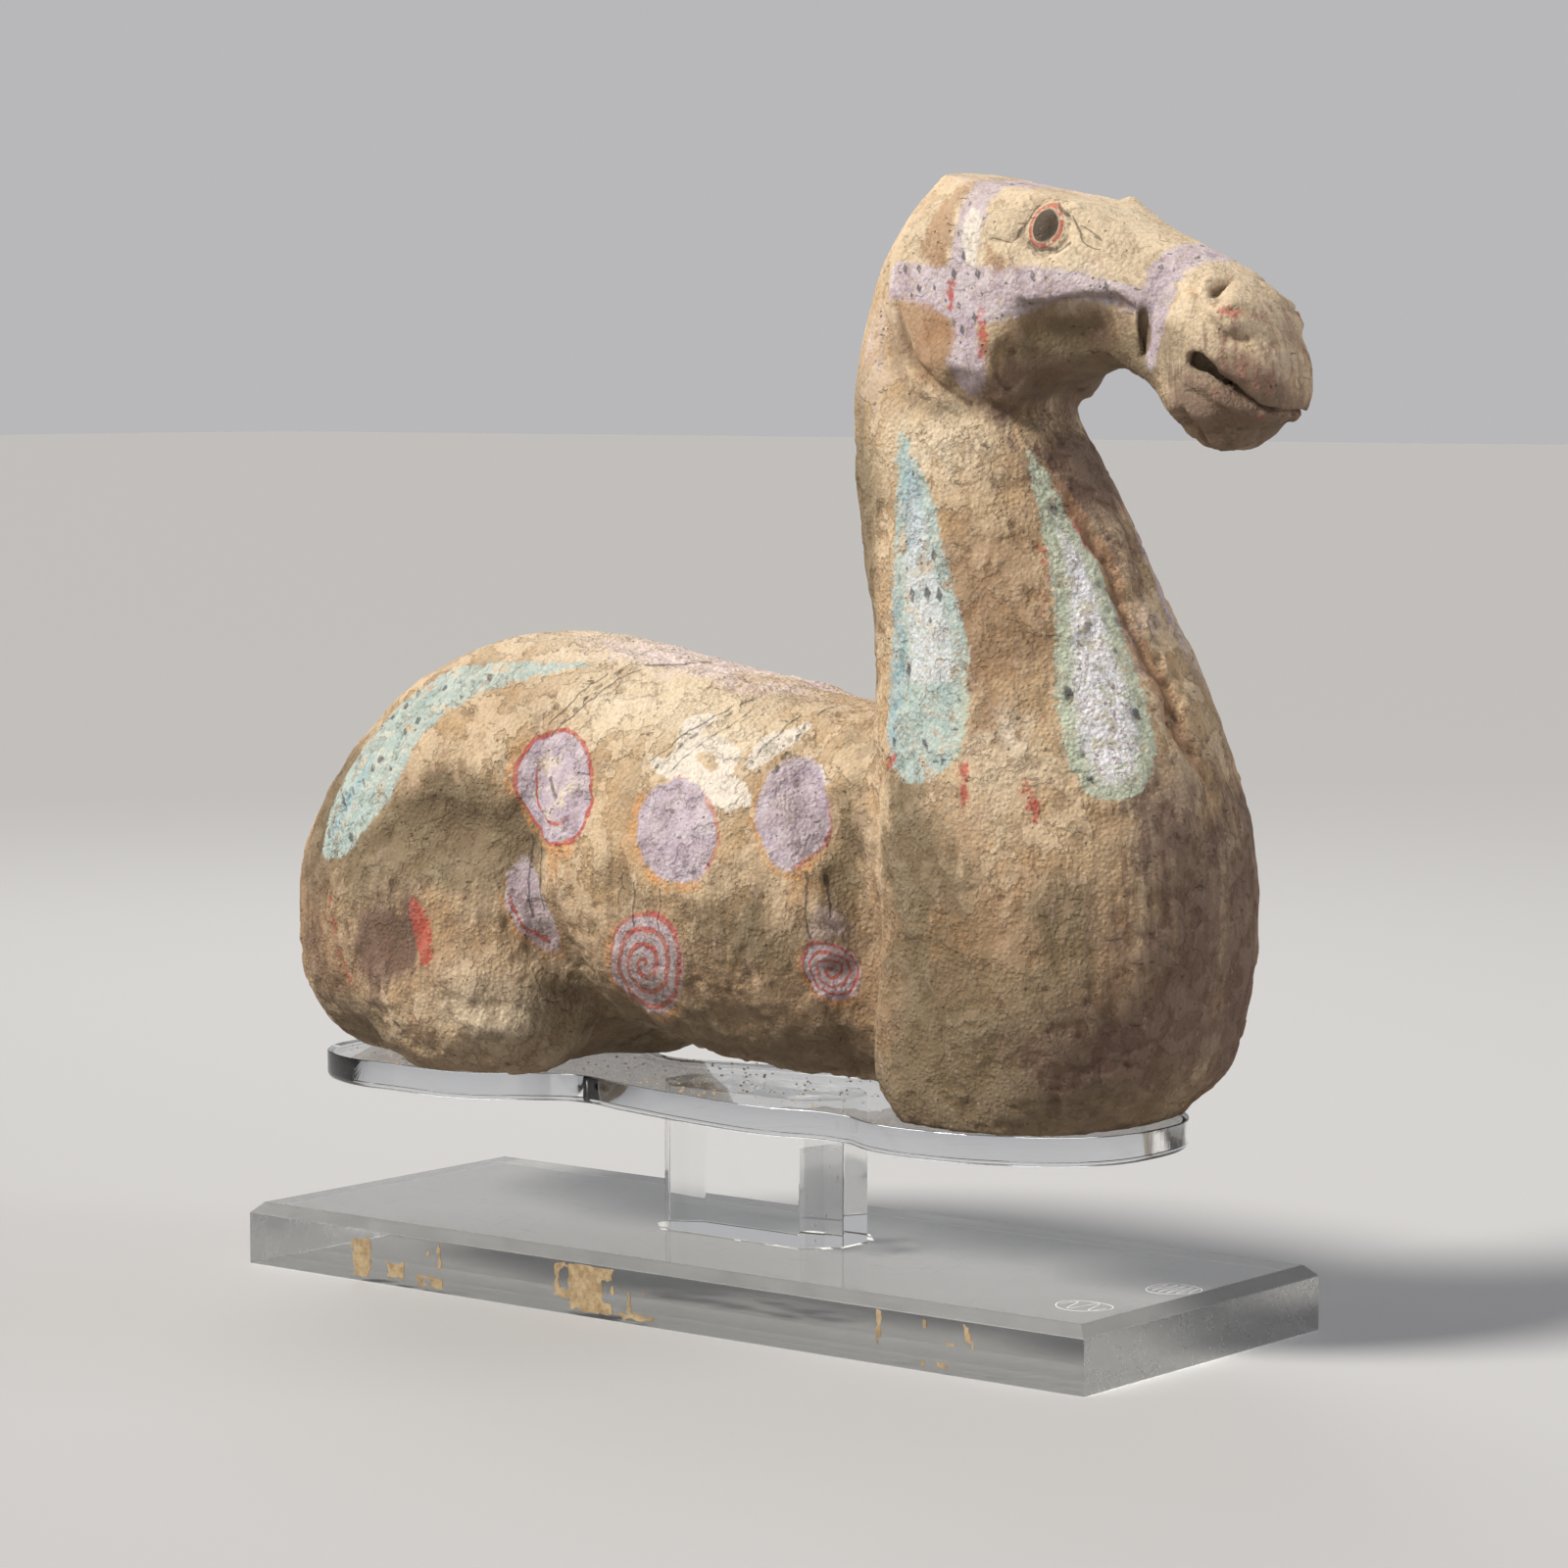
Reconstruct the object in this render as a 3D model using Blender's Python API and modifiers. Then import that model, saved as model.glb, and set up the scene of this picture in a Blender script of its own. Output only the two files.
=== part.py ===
"""Pottery horse figure on its clear display stand.

A moulded and painted clay horse without legs stands on a shaped acrylic
plate, which a chamfered acrylic post lifts above a bevelled acrylic slab.
World frame in metres: the origin is the centre of the slab's underside, +X is
the way the horse looks, +Y is its left side and +Z is up.
"""

import math

import bmesh
import bpy
import numpy as np
from mathutils import Matrix

# Stand, in metres
SLAB_LENGTH = 0.627
SLAB_WIDTH = 0.234
SLAB_THICKNESS = 0.038
SLAB_BEVEL = 0.0065
POST_WIDTH = 0.136
POST_DEPTH = 0.060
POST_CORNER = 0.0185
POST_HEIGHT = 0.0722
PLATE_THICKNESS = 0.0172
PLATE_BEVEL = 0.0042
JOINT_GAP = 0.0003
FLAT_ANGLE = 0.001

# Horse, whose own forms below are hundredths of this height; FRONT_SHARE lets
# forms drawn from the side run a little round the front
HORSE_HEIGHT = 0.535
HORSE_TRIANGLES = 8600
HEAD_CARE = 0.0008
SKIN_VOXEL = 0.6
RING_POINTS = 40
BALL_SEGMENTS = 24
BALL_RINGS = 16
SKIN_SOFTENING = 16
SOFTENING_FACTOR = 0.5
ROW_STEPS = 4
GROOVE_END = 0.3
HEAD_LEVEL = 70.0
HEAD_WEIGHT = 0.5
FACING_GAIN = 1.6
FRONT_SHARE = 0.5

# Levels of the stand
POST_FOOT = SLAB_THICKNESS + JOINT_GAP
PLATE_FOOT = POST_FOOT + POST_HEIGHT + JOINT_GAP
HORSE_FOOT = PLATE_FOOT + PLATE_THICKNESS + JOINT_GAP

# Torso rings from rump to chest, in hundredths of the horse's height:
# along, low, high, half width, squareness, narrowing of the upper half
TORSO = [
    (-63.9, 16.0, 22.4, 3.0, 2.0, 0.0),
    (-62.6, 10.6, 26.8, 8.0, 2.1, 0.04),
    (-59.6, 3.0, 31.2, 12.4, 2.2, 0.08),
    (-55.8, -0.4, 35.9, 15.6, 2.2, 0.12),
    (-50.0, -0.8, 41.5, 18.4, 2.2, 0.16),
    (-43.0, -0.8, 45.7, 20.2, 2.2, 0.18),
    (-35.0, -0.8, 48.1, 21.0, 2.3, 0.18),
    (-27.0, 0.2, 49.0, 20.4, 2.3, 0.16),
    (-20.0, 3.8, 48.6, 19.0, 2.2, 0.12),
    (-13.0, 5.2, 47.3, 18.6, 2.2, 0.10),
    (-3.0, 3.6, 45.4, 19.6, 2.3, 0.08),
    (7.0, 2.4, 43.9, 19.6, 2.3, 0.06),
    (16.0, 2.0, 42.6, 18.0, 2.3, 0.04),
    (22.0, 2.0, 42.4, 16.0, 2.2, 0.02),
    (28.0, 2.2, 42.4, 14.6, 2.2, 0.0),
]

# Chest and neck rings from foot to poll: height, rear, front, half width,
# squareness in front, squareness behind
NECK = [
    (-0.8, 25.0, 50.0, 15.0, 2.4, 5.0),
    (2.4, 24.6, 53.9, 16.2, 2.4, 5.0),
    (6.0, 24.4, 57.2, 17.0, 2.4, 4.6),
    (11.5, 24.2, 58.9, 17.8, 2.4, 4.2),
    (17.0, 24.0, 60.3, 18.2, 2.3, 3.6),
    (23.5, 23.0, 60.8, 18.4, 2.2, 3.0),
    (29.5, 21.6, 60.3, 18.2, 2.2, 2.6),
    (35.5, 20.2, 59.1, 17.4, 2.1, 2.3),
    (42.0, 19.6, 56.7, 16.0, 2.1, 2.2),
    (49.5, 19.2, 53.5, 14.5, 2.1, 2.1),
    (57.0, 17.8, 49.3, 13.5, 2.1, 2.1),
    (65.0, 16.4, 44.6, 12.5, 2.1, 2.1),
    (71.0, 15.6, 41.1, 11.6, 2.1, 2.1),
    (76.0, 15.3, 38.4, 10.6, 2.1, 2.1),
    (81.0, 15.8, 38.0, 9.8, 2.1, 2.1),
    (86.0, 17.2, 39.0, 9.4, 2.1, 2.1),
    (91.0, 19.2, 40.0, 8.8, 2.2, 2.1),
    (95.5, 23.2, 36.0, 7.8, 2.3, 2.2),
    (99.6, 27.8, 30.6, 5.6, 2.3, 2.2),
]

# Head rings from poll to lips: along, low, high, half width, squareness,
# narrowing of the upper half (of the lower half where negative)
HEAD = [
    (24.6, 84.0, 93.0, 7.2, 2.3, 0.08),
    (29.0, 79.0, 100.6, 9.0, 2.6, 0.08),
    (34.0, 76.6, 99.0, 9.8, 2.9, 0.10),
    (41.0, 77.2, 97.6, 9.4, 2.9, 0.08),
    (47.0, 79.0, 95.8, 8.3, 2.8, 0.0),
    (51.5, 77.7, 93.5, 7.2, 2.5, -0.04),
    (54.6, 75.4, 92.2, 6.6, 2.5, 0.0),
    (56.6, 72.4, 91.3, 6.6, 2.7, 0.0),
    (59.0, 70.6, 90.1, 6.9, 3.0, 0.0),
    (62.4, 70.3, 88.2, 6.9, 3.0, 0.0),
    (65.4, 72.3, 85.7, 6.2, 2.6, 0.0),
    (67.6, 73.5, 81.7, 5.0, 2.4, 0.0),
    (68.8, 74.2, 79.2, 3.0, 2.2, 0.0),
]

# Cheek pads on both sides: place, radii, flatness of the outer face
CHEEK_PLACE = (32.4, 3.0, 85.2)
CHEEK_RADII = (10.8, 7.3, 11.9)
CHEEK_FLATNESS = 5.0

# Balls fused into the skin on both sides, thigh, brow and nostril: place,
# radii
SIDE_BALLS = [
    ((-32.0, 11.5, 11.0), (17.5, 10.8, 12.6)),
    ((43.6, 6.0, 94.6), (3.2, 2.1, 1.5)),
    ((63.4, 4.9, 83.5), (2.7, 2.2, 2.5)),
]

# Hollows and swellings carved from the side, on both sides: along, height,
# radii, depth (a swelling is negative), turn in degrees
SIDE_FORMS = [
    (-29.5, 27.6, 15.5, 8.6, 2.9, -8.0),
    (5.0, 25.0, 15.0, 14.0, -0.7, 0.0),
    (46.0, 82.0, 9.0, 4.4, 2.0, -6.0),
    (57.0, 86.0, 3.0, 5.0, 0.5, 0.0),
    (61.7, 79.0, 2.2, 1.3, 1.5, -20.0),
    (62.6, 86.0, 1.2, 1.3, 1.3, 0.0),
]

# Grooves drawn from the side, on both sides: path of (along, height), width,
# depth
SIDE_GROOVES = [
    ([(-19.0, 38.0), (-20.2, 30.0), (-19.2, 24.0), (-17.4, 18.0),
      (-15.6, 13.0), (-14.6, 8.0), (-15.6, 1.0)], 5.2, 2.2),
    ([(14.0, 40.0), (17.0, 35.2), (20.0, 31.2), (22.4, 28.0),
      (24.0, 23.5), (24.6, 18.0), (24.2, 10.0)], 4.2, 2.4),
    ([(23.8, 92.0), (23.0, 86.0), (24.2, 80.4), (27.4, 76.0),
      (31.4, 73.9), (37.0, 73.8)], 1.6, 1.2),
    ([(60.6, 79.4), (62.6, 78.3), (64.4, 77.0), (66.3, 75.6),
      (67.4, 74.7)], 1.3, 1.8),
    ([(54.8, 84.8), (54.4, 82.0), (54.2, 79.4)], 1.0, 1.6),
]

# Eye seen from the side: place, radii of the ball, width and depth of the
# groove round it
EYE_PLACE = (43.1, 93.0)
EYE_RADII = (2.2, 2.8)
EYE_GROOVE = (0.9, 0.7)

# Seam torn down the front of the neck: path of (aside, height), width, depth
CHEST_GROOVE = ([(-2.6, 63.2), (0.4, 59.9), (-1.6, 53.1), (-1.0, 48.6),
                 (-1.8, 43.2), (0.0, 33.8)], 1.7, 1.0)

# Places worn or broken flat: a point on the flat, the way it faces and how
# far it reaches
FLATS = [
    ((27.4, -14.4, 3.4), (-0.60, -0.62, -0.50), 9.0),
    ((37.6, 0.0, 97.3), (0.19, 0.0, 0.98), 13.5),
]

# Half outline of the plate under the horse, from its rear end to its front
# end: along, aside; a corner is where two curves meet sharply
PLATE_OUTLINE = [
    (-59.2, 0.0, False),
    (-57.6, -9.4, False),
    (-51.6, -14.2, False),
    (-41.0, -15.4, False),
    (-31.0, -14.9, False),
    (-25.4, -11.2, False),
    (-20.6, -8.8, False),
    (-12.0, -10.6, False),
    (0.0, -13.0, False),
    (11.0, -14.1, False),
    (18.0, -12.9, False),
    (22.0, -13.4, True),
    (27.0, -15.8, False),
    (33.4, -16.4, False),
    (42.0, -14.6, False),
    (50.2, -9.2, False),
    (52.8, 0.0, False),
]


def clear_scene():
    for obj in list(bpy.data.objects):
        bpy.data.objects.remove(obj, do_unlink=True)


def make_collection(name):
    collection = bpy.data.collections.new(name)
    bpy.context.scene.collection.children.link(collection)
    return collection


def make_material(name, colour, roughness, transmission=0.0, ior=1.45):
    material = bpy.data.materials.new(name)
    material.use_nodes = True
    shader = material.node_tree.nodes["Principled BSDF"]
    shader.inputs["Base Color"].default_value = (*colour, 1.0)
    shader.inputs["Roughness"].default_value = roughness
    shader.inputs["Metallic"].default_value = 0.0
    shader.inputs["Transmission Weight"].default_value = transmission
    shader.inputs["IOR"].default_value = ior
    return material


def add_object(name, mesh, collection, material=None):
    obj = bpy.data.objects.new(name, mesh)
    collection.objects.link(obj)
    if material:
        mesh.materials.append(material)
    return obj


def evaluated_mesh(obj):
    """The object's mesh with its modifiers, as a mesh of its own."""
    graph = bpy.context.evaluated_depsgraph_get()
    return bpy.data.meshes.new_from_object(obj.evaluated_get(graph))


def superellipse(squareness, behind=None):
    """Unit outline between an ellipse (2) and a rectangle (large)."""
    points = []
    for step in range(RING_POINTS):
        angle = 2 * math.pi * step / RING_POINTS
        c, s = math.cos(angle), math.sin(angle)
        power = 2 / (behind if behind and c < 0 else squareness)
        points.append((math.copysign(abs(c) ** power, c),
                       math.copysign(abs(s) ** power, s)))
    return points


def loft(bm, rings):
    """Skin closed rings of equal count, in order, with flat ends."""
    loops = [[bm.verts.new(point) for point in ring] for ring in rings]
    count = len(loops[0])
    for lower, upper in zip(loops, loops[1:]):
        for i in range(count):
            j = (i + 1) % count
            bm.faces.new((lower[i], lower[j], upper[j], upper[i]))
    bm.faces.new(list(reversed(loops[0])))
    bm.faces.new(loops[-1])


def smooth_rows(rows, steps=ROW_STEPS):
    """Rows between the given ones, on a curve through them."""
    table = np.array(rows)
    last = len(table) - 1
    out = []
    for i in range(last):
        before, start = table[max(i - 1, 0)], table[i]
        end, after = table[i + 1], table[min(i + 2, last)]
        for t in np.arange(steps) / steps:
            out.append(0.5 * (2 * start + (end - before) * t
                              + (2 * before - 5 * start + 4 * end - after) * t ** 2
                              + (3 * start - before - 3 * end + after) * t ** 3))
    out.append(table[-1])
    return out


def upright_ring(along, low, high, half_width, squareness, narrowing=0.0):
    """Section across the torso or head, at one place along it."""
    middle, half = (low + high) / 2, (high - low) / 2
    return [(along, half_width * c * (1 - narrowing * s), middle + half * s)
            for c, s in superellipse(squareness)]


def level_ring(height, rear, front, half_width, squareness, behind):
    """Section round the chest or neck, at one height."""
    middle, half = (rear + front) / 2, (front - rear) / 2
    return [(middle + half * c, half_width * s, height)
            for c, s in superellipse(squareness, behind)]


def add_ball(bm, place, radii, flatness=2.0):
    """Ball, or with more flatness a round pad whose face looks aside."""
    made = bmesh.ops.create_uvsphere(bm, u_segments=BALL_SEGMENTS,
                                     v_segments=BALL_RINGS, radius=1.0)
    for vert in made["verts"]:
        rim = min(math.hypot(vert.co.x, vert.co.z), 1.0)
        aside = (1 - rim ** flatness) ** (1 / flatness)
        vert.co.y = math.copysign(aside, vert.co.y)
    matrix = Matrix.Translation(place) @ Matrix.Diagonal((*radii, 1.0))
    bmesh.ops.transform(bm, verts=made["verts"], matrix=matrix)


def fuse_skin():
    """Torso, neck and head fused into one softened skin, in shares."""
    mesh = bpy.data.meshes.new("skin")
    bm = bmesh.new()
    loft(bm, [upright_ring(*row) for row in smooth_rows(TORSO)])
    loft(bm, [level_ring(*row) for row in smooth_rows(NECK)])
    loft(bm, [upright_ring(*row) for row in smooth_rows(HEAD)])
    pads = [(place, radii, 2.0) for place, radii in SIDE_BALLS]
    pads.append((CHEEK_PLACE, CHEEK_RADII, CHEEK_FLATNESS))
    for (along, aside, height), radii, flatness in pads:
        for side in (-1, 1):
            add_ball(bm, (along, side * aside, height), radii, flatness)
    bmesh.ops.recalc_face_normals(bm, faces=bm.faces)
    bm.to_mesh(mesh)
    bm.free()
    skin = add_object("skin", mesh, bpy.context.scene.collection)
    remesh = skin.modifiers.new("Fuse", "REMESH")
    remesh.mode = "VOXEL"
    remesh.voxel_size = SKIN_VOXEL
    soften = skin.modifiers.new("Soften", "SMOOTH")
    soften.factor = SOFTENING_FACTOR
    soften.iterations = SKIN_SOFTENING
    fused = evaluated_mesh(skin)
    bpy.data.objects.remove(skin, do_unlink=True)
    return fused


def bump_profile(distance):
    """1 at a form's middle, easing to 0 at its edge."""
    return np.clip(1 - distance ** 2, 0, 1) ** 2


def groove_profile(flat, path, width):
    """1 along a path of straight runs, easing to 0 at its sides and ends."""
    best = np.full(len(flat), np.inf)
    reach = np.zeros(len(flat))
    runs = np.diff(np.array(path), axis=0)
    lengths = np.linalg.norm(runs, axis=1)
    passed = 0.0
    for start, run, length in zip(path, runs, lengths):
        along = np.clip((flat - start) @ run / length ** 2, 0, 1)
        gap = np.linalg.norm(flat - start - along[:, None] * run, axis=1)
        nearer = gap < best
        best[nearer] = gap[nearer]
        reach[nearer] = passed + along[nearer] * length
        passed += length
    ends = np.clip(np.minimum(reach, passed - reach) / (GROOVE_END * passed), 0, 1)
    return bump_profile(best / width) * np.sqrt(ends)


def oval_distance(flat, place, radii, turn=0.0):
    """Distance from an oval's middle, 1 on its rim."""
    c, s = math.cos(math.radians(turn)), math.sin(math.radians(turn))
    offset = flat - np.array(place)
    turned = np.stack([offset[:, 0] * c + offset[:, 1] * s,
                       offset[:, 1] * c - offset[:, 0] * s], axis=1)
    return np.linalg.norm(turned / np.array(radii), axis=1)


def flatten(points, place, facing, reach):
    """Press what stands out past a plane, near its middle, back onto it."""
    facing = np.array(facing) / np.linalg.norm(facing)
    offset = points - np.array(place)
    height = offset @ facing
    touched = (height > 0) & (np.linalg.norm(offset, axis=1) < reach)
    points[touched] -= height[touched, None] * facing


def mesh_points(mesh):
    points = np.empty(len(mesh.vertices) * 3)
    mesh.vertices.foreach_get("co", points)
    normals = np.empty(len(mesh.vertices) * 3)
    mesh.vertices.foreach_get("normal", normals)
    return points.reshape(-1, 3), normals.reshape(-1, 3)


def carve(mesh):
    """Press the hollows, grooves and eyes into the skin along its normals."""
    points, normals = mesh_points(mesh)
    side_view = points[:, [0, 2]]
    facing_aside = np.clip((np.abs(normals[:, 1]) + np.clip(normals[:, 0], 0, 1) * FRONT_SHARE)
                           * FACING_GAIN, 0, 1)
    depth = np.zeros(len(points))
    for along, height, wide, tall, deep, turn in SIDE_FORMS:
        rim = oval_distance(side_view, (along, height), (wide, tall), turn)
        depth += deep * bump_profile(rim) * facing_aside
    for path, width, deep in SIDE_GROOVES:
        depth += deep * groove_profile(side_view, path, width) * facing_aside
    eye_rim = oval_distance(side_view, EYE_PLACE, EYE_RADII)
    ring = np.abs(eye_rim - 1) * EYE_RADII[0] / EYE_GROOVE[0]
    depth += EYE_GROOVE[1] * bump_profile(ring) * facing_aside
    path, width, deep = CHEST_GROOVE
    facing_front = np.clip(normals[:, 0] * FACING_GAIN, 0, 1)
    depth += deep * groove_profile(points[:, 1:], path, width) * facing_front
    points -= depth[:, None] * normals
    for place, facing, reach in FLATS:
        flatten(points, place, facing, reach)
    mesh.vertices.foreach_set("co", points.ravel())
    mesh.update()


def cut_foot(bm):
    """Cut the horse level at its foot and close the cuts flat."""
    geometry = bm.verts[:] + bm.edges[:] + bm.faces[:]
    cut = bmesh.ops.bisect_plane(bm, geom=geometry, plane_co=(0, 0, 0), plane_no=(0, 0, 1),
                                 clear_inner=True)
    edges = [item for item in cut["geom_cut"] if isinstance(item, bmesh.types.BMEdge)]
    bmesh.ops.holes_fill(bm, edges=edges, sides=0)


def make_horse(collection, material):
    mesh = fuse_skin()
    carve(mesh)
    bm = bmesh.new()
    bm.from_mesh(mesh)
    cut_foot(bm)
    bmesh.ops.triangulate(bm, faces=bm.faces)
    size = HORSE_HEIGHT / 100
    bmesh.ops.transform(bm, verts=bm.verts, matrix=Matrix.Translation((0, 0, HORSE_FOOT))
                        @ Matrix.Scale(size, 4))
    count = len(bm.faces)
    bm.to_mesh(mesh)
    bm.free()
    mesh.name = "pottery_horse"
    horse = add_object("pottery_horse", mesh, collection, material)
    plain = horse.vertex_groups.new(name="plain")
    level = HORSE_FOOT + HEAD_LEVEL * size
    plain.add([vert.index for vert in mesh.vertices if vert.co.z < level], 1.0, "REPLACE")
    plain.add([vert.index for vert in mesh.vertices if vert.co.z >= level],
              HEAD_WEIGHT, "REPLACE")
    thin = horse.modifiers.new("Thin", "DECIMATE")
    thin.ratio = HORSE_TRIANGLES / count
    thin.vertex_group = plain.name
    thin.vertex_group_factor = HEAD_CARE
    return horse


def make_block(size, foot):
    """Box over the origin, standing at the level of its foot."""
    bm = bmesh.new()
    matrix = Matrix.Translation((0, 0, foot + size[2] / 2)) @ Matrix.Diagonal((*size, 1.0))
    bmesh.ops.create_cube(bm, size=1.0, matrix=matrix)
    return bm


def finish_block(bm, name, edges, width, collection, material, segments=1):
    """Bevel the given edges and make the block an object."""
    bmesh.ops.bevel(bm, geom=edges, offset=width, segments=segments, profile=0.5,
                    affect="EDGES")
    mesh = bpy.data.meshes.new(name)
    bm.to_mesh(mesh)
    bm.free()
    return add_object(name, mesh, collection, material)


def make_slab(collection, material):
    """Base slab with a flat bevel round its upper edge."""
    size = (SLAB_LENGTH, SLAB_WIDTH, SLAB_THICKNESS)
    bm = make_block(size, 0.0)
    top = [edge for edge in bm.edges
           if all(abs(vert.co.z - SLAB_THICKNESS) < JOINT_GAP for vert in edge.verts)]
    return finish_block(bm, "base_slab", top, SLAB_BEVEL, collection, material)


def make_post(collection, material):
    """Post with its four upright corners cut off."""
    size = (POST_WIDTH, POST_DEPTH, POST_HEIGHT)
    bm = make_block(size, POST_FOOT)
    upright = [edge for edge in bm.edges
               if abs(edge.verts[0].co.z - edge.verts[1].co.z) > POST_HEIGHT / 2]
    return finish_block(bm, "support_post", upright, POST_CORNER, collection, material)


def make_plate(collection, material):
    """Plate cut to the horse's footprint, bevelled round its lower edge."""
    size = HORSE_HEIGHT / 100
    far = [(along, -aside, corner) for along, aside, corner in PLATE_OUTLINE[-2:0:-1]]
    outline = PLATE_OUTLINE + far
    curve = bpy.data.curves.new("support_plate", "CURVE")
    curve.dimensions = "2D"
    curve.fill_mode = "BOTH"
    curve.extrude = PLATE_THICKNESS / 2
    curve.resolution_u = 3
    spline = curve.splines.new("BEZIER")
    spline.bezier_points.add(len(outline) - 1)
    spline.use_cyclic_u = True
    for point, (along, aside, corner) in zip(spline.bezier_points, outline):
        point.co = (along * size, aside * size, 0)
        kind = "VECTOR" if corner else "AUTO"
        point.handle_left_type = kind
        point.handle_right_type = kind
    guide = bpy.data.objects.new("support_plate_outline", curve)
    guide.location.z = PLATE_FOOT + PLATE_THICKNESS / 2
    bpy.context.scene.collection.objects.link(guide)
    outline_mesh = evaluated_mesh(guide)
    bm = bmesh.new()
    bm.from_mesh(outline_mesh)
    bmesh.ops.transform(bm, verts=bm.verts, matrix=guide.matrix_world)
    bpy.data.objects.remove(guide, do_unlink=True)
    bmesh.ops.remove_doubles(bm, verts=bm.verts, dist=JOINT_GAP / 10)
    bmesh.ops.dissolve_limit(bm, angle_limit=FLAT_ANGLE, verts=bm.verts, edges=bm.edges)
    rim = [edge for edge in bm.edges
           if all(abs(vert.co.z - PLATE_FOOT) < JOINT_GAP for vert in edge.verts)]
    return finish_block(bm, "support_plate", rim, PLATE_BEVEL, collection, material, 2)


def main():
    clear_scene()
    figure = make_collection("pottery_horse_figure")
    clay = make_material("painted_pottery", (0.46, 0.35, 0.22), 0.9)
    acrylic = make_material("clear_acrylic", (0.92, 0.94, 0.94), 0.04, 1.0, 1.49)
    make_slab(figure, acrylic)
    make_post(figure, acrylic)
    make_plate(figure, acrylic)
    make_horse(figure, clay)


main()
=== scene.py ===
"""Looks of the pottery horse figure: weathered, painted clay on a clear acrylic stand.

Lengths are in metres, in the frame's own axes. The horse's forms and its paint
are placed in shares, hundredths of its height above its foot: along, aside and
up. Unless a side is named, what is placed on the side that faces the viewer is
mirrored to the other one.
"""

import itertools
import math

import bmesh
import bpy
import numpy as np
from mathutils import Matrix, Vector, kdtree


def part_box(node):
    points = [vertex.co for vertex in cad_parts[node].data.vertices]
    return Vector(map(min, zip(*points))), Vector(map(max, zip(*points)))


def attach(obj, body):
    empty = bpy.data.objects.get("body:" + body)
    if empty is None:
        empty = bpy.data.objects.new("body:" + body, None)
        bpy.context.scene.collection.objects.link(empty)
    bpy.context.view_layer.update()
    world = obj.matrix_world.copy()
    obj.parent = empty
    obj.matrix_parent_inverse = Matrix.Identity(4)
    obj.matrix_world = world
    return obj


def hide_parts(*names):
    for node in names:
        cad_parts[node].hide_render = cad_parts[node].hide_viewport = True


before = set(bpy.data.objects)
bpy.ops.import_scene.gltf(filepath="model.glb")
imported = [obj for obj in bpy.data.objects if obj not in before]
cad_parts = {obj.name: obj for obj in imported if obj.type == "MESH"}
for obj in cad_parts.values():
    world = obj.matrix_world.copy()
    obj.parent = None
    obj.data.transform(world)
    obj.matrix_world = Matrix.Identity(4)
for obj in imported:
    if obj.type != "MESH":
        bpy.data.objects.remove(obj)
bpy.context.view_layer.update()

# The horse in the frame
HORSE_LOW, HORSE_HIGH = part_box("pottery_horse")
FOOT = HORSE_LOW.z
POLL_SHARE = 99.25
SHARE = (HORSE_HIGH.z - FOOT) / POLL_SHARE
MERGE = 0.00001

# Working skin: voxel, softening passes, triangles kept
FINE_VOXEL = 0.0019
SOFTENING = 22
SKIN_TRIANGLES = 190000

# Carving of the head, seen from the side, in shares: path of (along, up),
# width, depth (a ridge is negative)
HEAD_LINES = [
    ([(24.6, 91.8), (24.8, 88.6), (25.4, 85.2)], 0.6, 0.45),
    ([(25.3, 85.6), (26.2, 82.8), (27.8, 79.2), (30.9, 76.6), (34.2, 75.3), (37.4, 74.8)], 1.1, 1.1),
    ([(54.2, 84.4), (53.9, 81.8), (53.6, 79.9)], 0.42, 1.3),
    ([(38.9, 95.2), (40.6, 96.5), (43.5, 96.4), (46.6, 95.0), (49.6, 92.4)], 0.8, -0.3),
    ([(40.6, 91.2), (42.2, 90.3), (45.0, 90.0), (46.8, 91.1)], 0.5, -0.25),
    ([(37.4, 91.9), (39.4, 91.6), (40.6, 92.6)], 0.4, 0.3),
    ([(43.9, 95.7), (45.9, 94.3), (47.8, 91.9), (49.4, 90.8)], 0.4, 0.28),
    ([(47.0, 93.2), (49.5, 91.9)], 0.35, 0.2),
    ([(61.3, 88.4), (61.1, 87.0), (61.7, 85.6), (63.0, 84.2), (64.7, 83.2), (66.3, 83.0)], 0.7, -0.3),
    ([(60.3, 88.2), (60.2, 86.6), (61.0, 84.8), (62.6, 83.2), (64.4, 82.3)], 0.6, 0.3),
    ([(62.0, 86.0), (62.4, 86.9), (62.9, 87.9)], 0.55, 1.1),
    ([(64.4, 84.5), (65.3, 84.8), (66.0, 84.1)], 0.3, 0.5),
    ([(64.0, 81.9), (66.6, 81.7)], 0.8, 0.35),
    ([(60.8, 79.2), (62.4, 78.3), (64.0, 77.2), (65.8, 75.8), (67.3, 74.6), (68.6, 73.7)], 0.42, 1.5),
    ([(60.6, 77.9), (62.6, 76.7), (64.7, 75.3), (66.3, 73.9)], 0.8, -0.25),
    ([(-12.8, 38.2), (-8.1, 37.4), (-4.8, 36.6), (-0.5, 35.6)], 0.4, 0.3),
    ([(-32.6, 41.4), (-28.4, 39.4), (-25.0, 35.2), (-23.2, 30.4)], 0.9, 0.4),
]

# Edges under which the surface steps back, seen from the side: path of
# (along, up), depth, reach of the step below the edge
LEDGES = [
    ([(40.4, 86.4), (43.8, 85.5), (46.4, 86.3), (48.9, 86.6), (51.7, 86.5), (53.4, 85.3), (54.6, 83.6)],
     1.0, 6.5),
    ([(59.6, 77.6), (62.0, 76.3), (63.8, 75.2), (66.1, 73.6), (68.2, 72.6)], 0.55, 6.0),
]
LEDGE_EDGE = 0.6
LEDGE_ENDS = 1.8

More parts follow.
